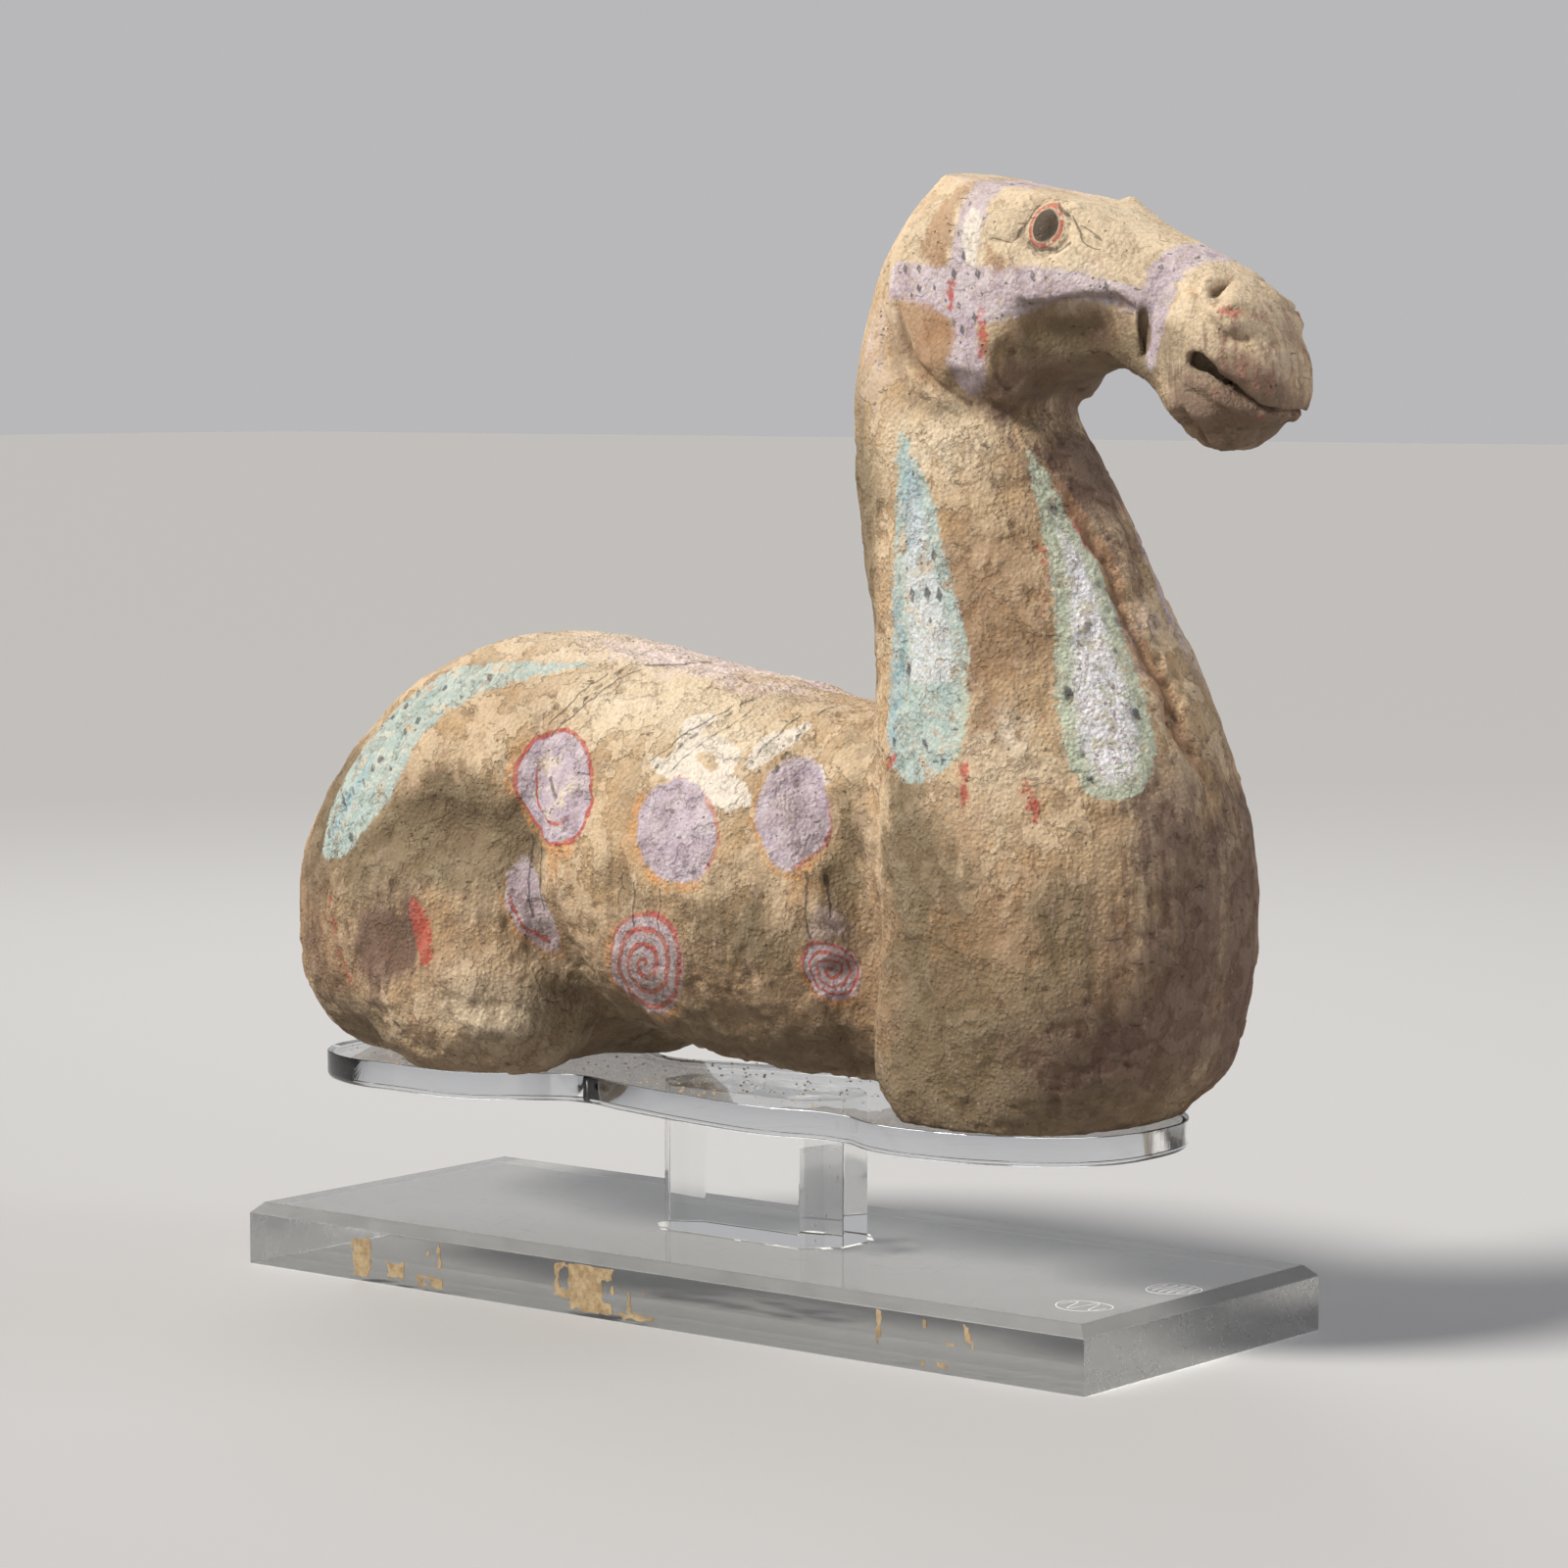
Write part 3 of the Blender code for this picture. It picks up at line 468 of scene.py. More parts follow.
# Scribbled rings scratched in the slab's top: middle, radii, strokes inside
SCRIBBLES = [((0.2787, -0.0685), (0.0165, 0.0135), 3), ((0.290, 0.003), (0.0155, 0.015), 7)]
SCRIBBLE_WIDTH = 0.0003
SCRIBBLE_HEIGHT = 0.00012

# Crumbs fallen from the clay: number per square metre, radii, how squashed they
# are at least and at most, the share of the plate they reach, and the height
# above them in which no clay may stand
CRUMB_DENSITY = 5200.0
CRUMB_SIZES = (0.0005, 0.0013)
CRUMB_SQUASH = ((0.7, 0.5, 0.4), (1.3, 1.0, 0.7))
CRUMB_REACH = 0.97
CRUMB_HEADROOM = 0.006
CRUMB_SEED = 5

# Colours of the acrylic and of what has dried or been scratched on it
ACRYLIC = (0.985, 0.99, 0.987)
ACRYLIC_SHADOW = (0.95, 0.955, 0.95)
ADHESIVE = (0.25, 0.165, 0.08)
ADHESIVE_PALE = (0.40, 0.30, 0.17)
ADHESIVE_SPECK = (0.14, 0.085, 0.04)
GLUE = (0.72, 0.71, 0.68)
SCRATCHED_WHITE = (0.9, 0.9, 0.88)

# Surface of the acrylic: how it bends light, its dullness where polished, and
# the height of the traces on it
ACRYLIC_IOR = 1.49
ACRYLIC_ROUGHNESS = 0.015
TRACE_RELIEF = 0.0004

# Patterns on the stand: width of the forms, detail, roughness
HAZE = (0.02, 5.0, 0.6)
SAW_MARKS = (0.0012, 3.0, 0.6)
SAW_STRETCH = (1.0, 1.0, 0.04)
MOTTLE = (0.006, 6.0, 0.65)
SPECK_SPACING = 0.0022
BRITTLE = (0.002, 4.0, 0.6)
CHALK_TINT = (0.003, 4.0, 0.6)
CHALK_DULLNESS = (0.0015, 3.0, 0.6)

# Sets of fine scratches, each with its turn and its lines' width
SCRATCHES = ((0.2, 0.0011), (-0.5, 0.0014), (1.25, 0.001))
SCRATCH_STRETCH = (0.02, 1.0, 0.3)

# The photograph's view
CAMERA_PLACE = (1.77284, -2.20221, 0.54742)
CAMERA_AIM = (-0.62169, 0.77860, -0.08531)
CAMERA_LENS = 110.46
CAMERA_SENSOR = 36.0

# Key light: the way it comes from, strength, softness in degrees
KEY_FROM = (-0.33, -0.60, 0.73)
KEY_STRENGTH = 4.5
KEY_SOFTNESS = 17.0
KEY_COLOUR = (1.0, 0.965, 0.91)

# Softboxes: place, size, power, colour
SOFTBOXES = [
    ((1.9, 1.1, 1.3), 0.9, 16.0, (0.93, 0.95, 1.0)),
    ((-1.6, 1.4, 1.9), 1.2, 16.0, (0.96, 0.97, 1.0)),
]
SOFTBOX_AIM = (0, 0, 0.35)
FLOOR_SIZE = 60.0
FLOOR_COLOUR = (0.44, 0.435, 0.43)
FLOOR_ROUGHNESS = 0.7
HORIZON_LIGHT = (0.48, 0.48, 0.49)
ZENITH_LIGHT = (0.17, 0.175, 0.19)


def add_object(name, data):
    made = bpy.data.objects.new(name, data)
    bpy.context.scene.collection.objects.link(made)
    return made


def merged_copy(node):
    """A node's form, with its loose triangles joined."""
    bm = bmesh.new()
    bm.from_mesh(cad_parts[node].data)
    bmesh.ops.remove_doubles(bm, verts=bm.verts, dist=MERGE)
    return bm


def finished_mesh(name, bm):
    mesh = bpy.data.meshes.new(name)
    bm.to_mesh(mesh)
    bm.free()
    return mesh


def apply_modifiers(piece):
    """Put the evaluated mesh in place of the piece's own."""
    graph = bpy.context.evaluated_depsgraph_get()
    made = bpy.data.meshes.new_from_object(piece.evaluated_get(graph))
    piece.modifiers.clear()
    old, piece.data = piece.data, made
    bpy.data.meshes.remove(old)


def scattered(cells, seed):
    """A number between -1 and 1 for each whole-number cell, always the same."""
    mixed = cells @ np.array([374761393, 668265263, 1103515245]) + seed * 144665
    mixed = (mixed ^ (mixed >> 13)) * 1274126177
    mixed ^= mixed >> 16
    return (mixed & 0xFFFF) / 32767.5 - 1


def noise(points, size, seed, octaves=1):
    """Smooth noise, about -1 to 1, whose forms are as wide as size."""
    total = np.zeros(len(points))
    strength = 1.0
    for octave in range(octaves):
        scaled = points / size + seed * 7.31
        cell = np.floor(scaled).astype(np.int64)
        part = scaled - cell
        ease = part ** 3 * (part * (part * 6 - 15) + 10)
        for corner in itertools.product((0, 1), repeat=3):
            weight = np.prod(np.where(corner, ease, 1 - ease), axis=1)
            total += strength * weight * scattered(cell + np.array(corner), seed + octave)
        size /= 2
        strength /= 2
    return total


def ease_between(values, low, high):
    """0 below low, 1 above high, and a smooth step between."""
    part = np.clip((values - low) / (high - low), 0, 1)
    return part * part * (3 - 2 * part)


def bump(distance):
    """1 at a form's middle, easing to 0 at distance 1."""
    return np.clip(1 - distance ** 2, 0, 1) ** 2


def path_distance(points, path):
    """Distance to a path of straight runs, and the share of it passed there."""
    best = np.full(len(points), np.inf)
    reach = np.zeros(len(points))
    runs = np.diff(np.array(path), axis=0)
    lengths = np.linalg.norm(runs, axis=1)
    passed = 0.0
    for start, run, length in zip(path, runs, lengths):
        along = np.clip((points - start) @ run / length ** 2, 0, 1)
        gap = np.linalg.norm(points - start - along[:, None] * run, axis=1)
        nearer = gap < best
        best[nearer] = gap[nearer]
        reach[nearer] = passed + along[nearer] * length
        passed += length
    return best, reach / passed


def oval_distance(flat, place, radii, turn):
    """Distance from an oval's middle, 1 on its rim."""
    c, s = math.cos(math.radians(turn)), math.sin(math.radians(turn))
    offset = flat - np.array(place)
    turned = np.stack([offset[:, 0] * c + offset[:, 1] * s, offset[:, 1] * c - offset[:, 0] * s], axis=1)
    return np.linalg.norm(turned / np.array(radii), axis=1)


class Skin:
    """The horse's surface while it is worked: points, normals, shares."""

    def __init__(self, mesh):
        self.mesh = mesh
        self.read()

    def read(self):
        flat = np.empty(len(self.mesh.vertices) * 3)
        self.mesh.vertices.foreach_get("co", flat)
        self.points = flat.reshape(-1, 3).copy()
        self.mesh.vertices.foreach_get("normal", flat)
        self.normals = flat.reshape(-1, 3).copy()
        self.shares = (self.points - (0, 0, FOOT)) / SHARE
        self.side = self.shares[:, [0, 2]]
        self.folded = self.shares.copy()
        self.folded[:, 1] = -np.abs(self.folded[:, 1])

    def write(self):
        self.mesh.vertices.foreach_set("co", self.points.ravel())
        self.mesh.update()
        self.read()

    def press(self, depth):
        """Move the surface inwards along its normals, by metres."""
        self.points -= depth[:, None] * self.normals
        self.write()


def carve_forms(skin):
    """Sharpen the head's features and the body's hollows."""
    aside = np.clip(np.abs(skin.normals[:, 1]) * FACING_GAIN, 0, 1)
    snout = ease_between(skin.shares[:, 0], *SNOUT)
    depth = np.zeros(len(skin.points))
    for place, radii, deep, turn in SIDE_HOLLOWS:
        depth += deep * bump(oval_distance(skin.side, place, radii, turn)) * aside
    for path, width, deep in HEAD_LINES:
        gap, passed = path_distance(skin.side, path)
        ends = np.clip(np.minimum(passed, 1 - passed) / LINE_ENDS + LINE_START, 0, 1)
        facing = np.maximum(aside, snout) if path[-1][0] > SNOUT_TIP else aside
        depth += deep * bump(gap / width) * ends * facing
    for path, deep, reach in LEDGES:
        along, up = np.array(path).T
        drop = np.interp(skin.side[:, 0], along, up) - skin.side[:, 1]
        below = ease_between(drop, 0, LEDGE_EDGE) * (1 - ease_between(drop, LEDGE_EDGE, reach))
        ends = ease_between(skin.side[:, 0], along[0], along[0] + LEDGE_ENDS)
        ends *= 1 - ease_between(skin.side[:, 0], along[-1] - LEDGE_ENDS, along[-1])
        depth += deep * below * ends * aside
    rim = oval_distance(skin.side, EYE_PLACE, EYE_RADII, 0.0)
    depth += EYE_GROOVE[1] * bump((rim - 1) * EYE_RADII[0] / EYE_GROOVE[0]) * aside
    front = np.clip(skin.normals[:, 0] * FACING_GAIN, 0, 1)
    wander = skin.shares[:, 1:].copy()
    wander[:, 0] += SEAM_WANDER * noise(skin.points, SEAM_WANDER_SIZE, SEEDS["seam"], 2)
    for path, width, deep in SEAM_CUTS:
        gap, passed = path_distance(wander, path)
        ends = np.clip(np.minimum(passed, 1 - passed) / SEAM_ENDS, 0, 1)
        depth += deep * bump(gap / width) * ends * front
    skin.press(depth * SHARE)
    for place, facing, reach in KNIFE_FLATS:
        facing = np.array(facing) / np.linalg.norm(facing)
        offset = skin.folded - np.array(place)
        height = offset @ facing
        fade = 1 - ease_between(np.linalg.norm(offset, axis=1), reach * FLAT_FADE, reach)
        cut = np.clip(height, 0, None) * fade
        move = cut[:, None] * facing
        move[:, 1] *= -np.sign(skin.shares[:, 1])
        skin.points -= move * SHARE
    skin.write()


def layer_mask(skin):
    """1 where the upper skin of the clay is left, 0 where it has come off."""
    share, size = LAYER_REGION
    worn = noise(skin.points, LAYER_SIZE, SEEDS["layers"], 4)
    worn = worn + share * noise(skin.points, size, SEEDS["regions"])
    return ease_between(worn, *LAYER_EDGE)


def wear_clay(skin):
    """Lumps, lost layers, flakes and pits of old low-fired clay."""
    smooth = ease_between(skin.shares[:, 2], *HEAD_UP)
    depth = np.zeros(len(skin.points))
    for size, height, seed in LUMPS:
        depth += height * (1 - LUMPS_LESS * smooth) * noise(skin.points, size, seed, 2)
    depth -= LAYER_STEP * layer_mask(skin) * (1 - LAYERS_LESS * smooth)
    flakes = ease_between(noise(skin.points, FLAKE_SIZE, SEEDS["flakes"], 3), *FLAKE_EDGE)
    depth += FLAKE_STEP * flakes * (1 - FLAKES_LESS * smooth)
    under = np.clip(-skin.normals[:, 2], 0, 1) * ease_between(skin.shares[:, 2], *BROKEN_FROM)
    height, size = BROKEN_UNDER
    depth += height * under * noise(skin.points, size, SEEDS["under"], 3)
    depth += pit_depths(skin)
    for place, radius, height in KNOBS:
        depth -= height * bump(np.linalg.norm(skin.shares - np.array(place), axis=1) / radius)
    skin.press(depth)
    skin.points[:, 2] = np.maximum(skin.points[:, 2], FOOT)
    skin.write()


def pit_depths(skin):
    """Small holes where grit has fallen out."""
    tree = kdtree.KDTree(len(skin.points))
    for index, point in enumerate(skin.points):
        tree.insert(point, index)
    tree.balance()
    depth = np.zeros(len(skin.points))
    draw = np.random.default_rng(SEEDS["pits"])
    rough = noise(skin.points, PIT_REGION, SEEDS["pit regions"])
    chosen = draw.integers(0, len(skin.points), PITS * 3)
    chosen = chosen[rough[chosen] + draw.uniform(-PIT_SCATTER, PIT_SCATTER, len(chosen)) > PIT_LIMIT][:PITS]
    for index in chosen:
        radius = draw.uniform(*PIT_RADII) * draw.uniform(*PIT_SHRINK)
        deep = draw.uniform(*PIT_DEPTHS)
        for _, other, distance in tree.find_range(skin.points[index], radius):
            depth[other] = max(depth[other], deep * (1 - (distance / radius) ** 2))
    return depth


def thin(piece, triangles):
    """Keep the triangles that the surface's detail needs."""
    reduce = piece.modifiers.new("Thin", "DECIMATE")
    reduce.ratio = triangles / (2 * len(piece.data.polygons))
    apply_modifiers(piece)


def store(mesh, name, values):
    attribute = mesh.attributes.new(name, "FLOAT", "POINT")
    attribute.data.foreach_set("value", values.astype(np.float32))


class Neighbours:
    """Averages over a mesh's edges."""

    def __init__(self, mesh):
        pairs = np.empty(len(mesh.edges) * 2, int)
        mesh.edges.foreach_get("vertices", pairs)
        self.pairs = pairs.reshape(-1, 2)
        self.size = len(mesh.vertices)
        self.count = np.bincount(pairs, minlength=self.size)

    def mean(self, values):
        """The mean of each point's neighbours."""
        if values.ndim > 1:
            return np.stack([self.mean(column) for column in values.T], axis=1)
        total = np.bincount(self.pairs[:, 0], values[self.pairs[:, 1]], self.size)
        total += np.bincount(self.pairs[:, 1], values[self.pairs[:, 0]], self.size)
        return total / self.count

    def even(self, values, passes):
        for _ in range(passes):
            values = 0.5 * (values + self.mean(values))
        return values


def soften(skin):
    """Even out the facets, then give back the form that this took away."""
    around = Neighbours(skin.mesh)
    evened = around.even(skin.points, SOFTENING)
    skin.points = evened + around.even(skin.points - evened, SOFTENING)
    skin.write()


def cavity(skin):
    """How far each point lies in a dip (positive) or on a bump, in millimetres."""
    around = Neighbours(skin.mesh)
    level = skin.points
    for _ in range(CAVITY_PASSES):
        level = around.mean(level)
    dip = np.einsum("ij,ij->i", level - skin.points, skin.normals) * 1000
    return 0.5 * dip + 0.5 * around.mean(dip)


def on_side(skin, side):
    """Shares folded to the near side, and which points a mark may touch."""
    if side == 0:
        return skin.folded, np.ones(len(skin.points), bool)
    return skin.shares, skin.shares[:, 1] * side > 0


def paint_skin(skin):
    """Store how far each point is inside each pigment's marks, and its washes."""
    size = len(skin.points)
    marks = {}
    for (pigment, side), strips in STRIPS.items():
        spots, allowed = on_side(skin, side)
        field = marks.setdefault(pigment, np.full(size, OUTSIDE))
        for strip in strips:
            for (*start, wide), (*end, wider) in zip(strip, strip[1:]):
                run = np.subtract(end, start)
                along = np.clip((spots - start) @ run / (run @ run), 0, 1)
                gap = np.linalg.norm(spots - start - along[:, None] * run, axis=1)
                inside = np.where(allowed, wide + (wider - wide) * along - gap, OUTSIDE)
                np.maximum(field, inside, out=field)
    drift = np.stack([noise(skin.points, WASH_SIZE, seed, 2) for seed in SEEDS["washes"]], axis=1)
    washes = {}
    for (pigment, side), spread in WASHES.items():
        spots, allowed = on_side(skin, side)
        field = washes.setdefault(pigment, np.zeros(size))
        for place, radii, strength in spread:
            gap = np.linalg.norm((spots + WASH_DRIFT * drift - place) / radii, axis=1)
            field += np.where(allowed, strength * np.exp(-gap ** 2), 0.0)
    for kind, fields in (("_marks", marks), ("_wash", washes)):
        for pigment, field in fields.items():
            store(skin.mesh, pigment + kind, field)
    store(skin.mesh, "cavity", cavity(skin))


def make_horse(material):
    """The clay horse, worked from the frame's own form."""
    piece = add_object("clay_body", finished_mesh("clay_body", merged_copy("pottery_horse")))
    remesh = piece.modifiers.new("Fuse", "REMESH")
    remesh.mode = "VOXEL"
    remesh.voxel_size = FINE_VOXEL
    apply_modifiers(piece)
    skin = Skin(piece.data)
    soften(skin)
    carve_forms(skin)
    wear_clay(skin)
    thin(piece, SKIN_TRIANGLES)
    paint_skin(Skin(piece.data))
    piece.data.shade_smooth()
    piece.data.materials.clear()
    piece.data.materials.append(material)
    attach(piece, "root")
    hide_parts("pottery_horse")
    return piece


class Tree:
    """Short calls that add nodes to one material or one group."""

    def __init__(self, tree):
        self.tree = tree

    def put(self, socket, value):
        if isinstance(value, bpy.types.NodeSocket):
            self.tree.links.new(value, socket)
        elif value is not None:
            socket.default_value = value

    def add(self, kind, *values, **settings):
        node = self.tree.nodes.new(kind)
        for name, value in settings.items():
            setattr(node, name, value)
        for socket, value in zip(node.inputs, values):
            self.put(socket, value)
        return node

    def fill(self, node, inputs):
        """Set or link a node's inputs by their names."""
        for name, value in inputs.items():
            self.put(node.inputs[name], value)
        return node

    def named(self, kind, inputs, **settings):
        return self.fill(self.add(kind, **settings), inputs)

    def math(self, operation, a, b=None, c=None):
        return self.add("ShaderNodeMath", a, b, c, operation=operation).outputs[0]

    def vector(self, operation, a, b=None):
        node = self.add("ShaderNodeVectorMath", a, b, operation=operation)
        return node.outputs["Value" if operation in ("LENGTH", "DOT_PRODUCT") else "Vector"]

    def scaled(self, vector, by):
        node = self.add("ShaderNodeVectorMath", vector, operation="SCALE")
        return self.fill(node, {"Scale": by}).outputs["Vector"]

    def noise_node(self, point, size, detail, roughness):
        return self.named("ShaderNodeTexNoise", {"Vector": point, "Scale": 1 / size, "Detail": detail,
                                                 "Roughness": roughness})

    def noise(self, point, size, detail=3.0, roughness=0.55):
        return self.noise_node(point, size, detail, roughness).outputs["Fac"]

    def cells(self, point, size, metric="EUCLIDEAN", randomness=1.0):
        inputs = {"Vector": point, "Scale": 1 / size, "Randomness": randomness}
        return self.named("ShaderNodeTexVoronoi", inputs, distance=metric).outputs["Distance"]

    def step(self, value, low, high, start=0.0, end=1.0):
        node = self.add("ShaderNodeMapRange", value, low, high, start, end, interpolation_type="SMOOTHSTEP")
        return node.outputs["Result"]

    def blend(self, share, start, end):
        """From start where share is 0 to end where it is 1."""
        return self.step(share, 0.0, 1.0, start, end)

    def turned(self, point, axis, angle):
        inputs = {"Vector": point, "Angle": angle}
        return self.named("ShaderNodeVectorRotate", inputs, rotation_type=axis).outputs["Vector"]

    def parts(self, vector):
        return self.add("ShaderNodeSeparateXYZ", vector).outputs

    def mix(self, factor, a, b):
        node = self.tree.nodes.new("ShaderNodeMix")
        node.data_type = "RGBA"
        for socket, value in ((node.inputs[0], factor), (node.inputs[6], a), (node.inputs[7], b)):
            self.put(socket, (*value, 1.0) if isinstance(value, tuple) else value)
        return node.outputs[2]

    def attribute(self, name):
        return self.add("ShaderNodeAttribute", attribute_name=name).outputs["Fac"]

    def use(self, group, **values):
        inputs = {name.replace("_", " "): value for name, value in values.items()}
        return self.named("ShaderNodeGroup", inputs, node_tree=group).outputs

    def bump(self, height, strength, distance):
        inputs = {"Strength": strength, "Distance": distance, "Height": height}
        return self.named("ShaderNodeBump", inputs).outputs["Normal"]

    def chain(self, operation, first, others):
        for other in others:
            first = self.math(operation, first, other)
        return first

    def sum(self, first, *others):
        return self.chain("ADD", first, others)

    def product(self, first, *others):
        return self.chain("MULTIPLY", first, others)

    def highest(self, first, *others):
        return self.chain("MAXIMUM", first, others)

    def inverse(self, value):
        return self.math("SUBTRACT", 1.0, value)


def make_group(name, inputs, outputs):
    """An empty shader group with these sockets, and what its maker needs."""
    group = bpy.data.node_groups.new(name, "ShaderNodeTree")
    for socket, default in inputs.items():
        kind = "NodeSocketVector" if isinstance(default, tuple) else "NodeSocketFloat"
        made = group.interface.new_socket(socket, in_out="INPUT", socket_type=kind)
        made.default_value = default
    for socket in outputs:
        group.interface.new_socket(socket, in_out="OUTPUT", socket_type="NodeSocketFloat")
    tree = Tree(group)
    ends = tree.add("NodeGroupOutput")
    return group, tree, tree.add("NodeGroupInput").outputs, ends.inputs


def grain_group():
    """Sandy clay: grit standing out of a finer ground."""
    group, tree, given, ends = make_group("sandy_grain", {"Point": (0.0, 0.0, 0.0)},
                                          ["Height", "Gaps", "Grit"])
    fine = tree.noise(given["Point"], GRAIN_FINE, 3.0, 0.75)
    grit = tree.cells(given["Point"], GRAIN_GRIT)
    bits = tree.inverse(tree.step(grit, 0.1, 0.62))
    tree.put(ends["Height"], tree.sum(tree.math("MULTIPLY", fine, 0.9), tree.math("MULTIPLY", bits, 0.42)))
    tree.put(ends["Gaps"], tree.product(tree.step(grit, 0.42, 0.75), tree.step(fine, 0.58, 0.42)))
    tree.put(ends["Grit"], tree.product(bits, tree.step(fine, 0.45, 0.68)))
    return group


def worn_group():
    """Paint inside a mark, with a brushed edge, worn through in spots."""
    group, tree, given, ends = make_group(
        "worn_paint", {"Inside": 0.0, "Softness": 0.3, "Wear": 0.3, "Ragged": 0.5, "Spots": 0.5}, ["Mask"])
    ragged = tree.math("SUBTRACT", given["Ragged"], 0.5)
    inside = tree.math("ADD", given["Inside"], tree.product(ragged, given["Softness"], 4.0))
    solid = tree.step(tree.math("DIVIDE", inside, given["Softness"]), -0.5, 0.5)
    limit = tree.math("SUBTRACT", 0.74, tree.math("MULTIPLY", given["Wear"], 0.3))
    lost = tree.add("ShaderNodeMapRange", given["Spots"], limit, tree.math("ADD", limit, 0.09))
    tree.put(ends["Mask"], tree.math("MULTIPLY", solid, tree.inverse(lost.outputs["Result"])))
    return group


def oval_group():
    """Distance from an oval's middle, 1 on its rim, and the turn round it."""
    group, tree, given, ends = make_group(
        "painted_oval", {"Side": (0.0, 0.0, 0.0), "Place": (0.0, 0.0, 0.0), "Radii": (1.0, 1.0, 1.0),
                         "Lean": 0.0}, ["Rim", "Turn"])
    offset = tree.vector("SUBTRACT", given["Side"], given["Place"])
    turned = tree.turned(offset, "Z_AXIS", tree.math("MULTIPLY", given["Lean"], -1.0))
    scaled = tree.vector("DIVIDE", turned, given["Radii"])
    parts = tree.parts(scaled)
    tree.put(ends["Rim"], tree.vector("LENGTH", scaled))
    tree.put(ends["Turn"], tree.math("DIVIDE", tree.math("ARCTAN2", parts["Y"], parts["X"]), 2 * math.pi))
    return group


def stroke_group():
    """One stroke of ink between two places, seen from the side."""
    group, tree, given, ends = make_group(
        "ink_stroke", {"Side": (0.0, 0.0, 0.0), "Start": (0.0, 0.0, 0.0), "End": (0.0, 0.0, 0.0),
                       "Half Width": 0.1, "Dashes": 0.0}, ["Mask"])
    run = tree.vector("SUBTRACT", given["End"], given["Start"])
    offset = tree.vector("SUBTRACT", given["Side"], given["Start"])
    along = tree.math("DIVIDE", tree.vector("DOT_PRODUCT", offset, run), tree.vector("DOT_PRODUCT", run, run))
    along = tree.math("MINIMUM", tree.math("MAXIMUM", along, 0.0), 1.0)
    gap = tree.vector("LENGTH", tree.vector("SUBTRACT", offset, tree.scaled(run, along)))
    body = tree.inverse(tree.step(tree.math("DIVIDE", gap, given["Half Width"]), 0.5, 1.4))
    passed = tree.product(along, tree.vector("LENGTH", run), 4.2)
    dash = tree.step(tree.math("SINE", passed), -0.25, 0.25)
    broken = tree.inverse(tree.product(tree.inverse(dash), given["Dashes"], 0.9))
    tree.put(ends["Mask"], tree.math("MULTIPLY", body, broken))
    return group


def scratch_group():
    """Fine scratches that run in a few directions."""
    group, tree, given, ends = make_group(
        "fine_scratches", {"Point": (0.0, 0.0, 0.0), "Amount": 0.5}, ["Mask"])
    lines = []
    for turn, width in SCRATCHES:
        drawn = tree.vector("MULTIPLY", tree.turned(given["Point"], "Z_AXIS", turn), SCRATCH_STRETCH)
        lines.append(tree.step(tree.noise(drawn, width, 2.0, 0.5), 0.71, 0.78))
    tree.put(ends["Mask"], tree.math("MULTIPLY", tree.highest(*lines), given["Amount"]))
    return group


def dust_group():
    """Dust that has settled on what faces up."""
    group, tree, given, ends = make_group(
        "settled_dust", {"Cloud": 0.5, "Normal": (0.0, 0.0, 1.0), "Amount": 0.3}, ["Mask"])
    up = tree.step(tree.parts(given["Normal"])["Z"], 0.2, 0.95)
    tree.put(ends["Mask"], tree.product(up, tree.step(given["Cloud"], 0.35, 0.7), given["Amount"]))
    return group


GROUPS = {"grain": grain_group(), "worn": worn_group(), "oval": oval_group(), "stroke": stroke_group(),
          "scratches": scratch_group(), "dust": dust_group()}


def new_material(name):
    material = bpy.data.materials.new(name)
    material.use_nodes = True
    tree = Tree(material.node_tree)
    shader = material.node_tree.nodes["Principled BSDF"]
    point = tree.add("ShaderNodeTexCoord").outputs["Object"]
    return material, tree, shader, point


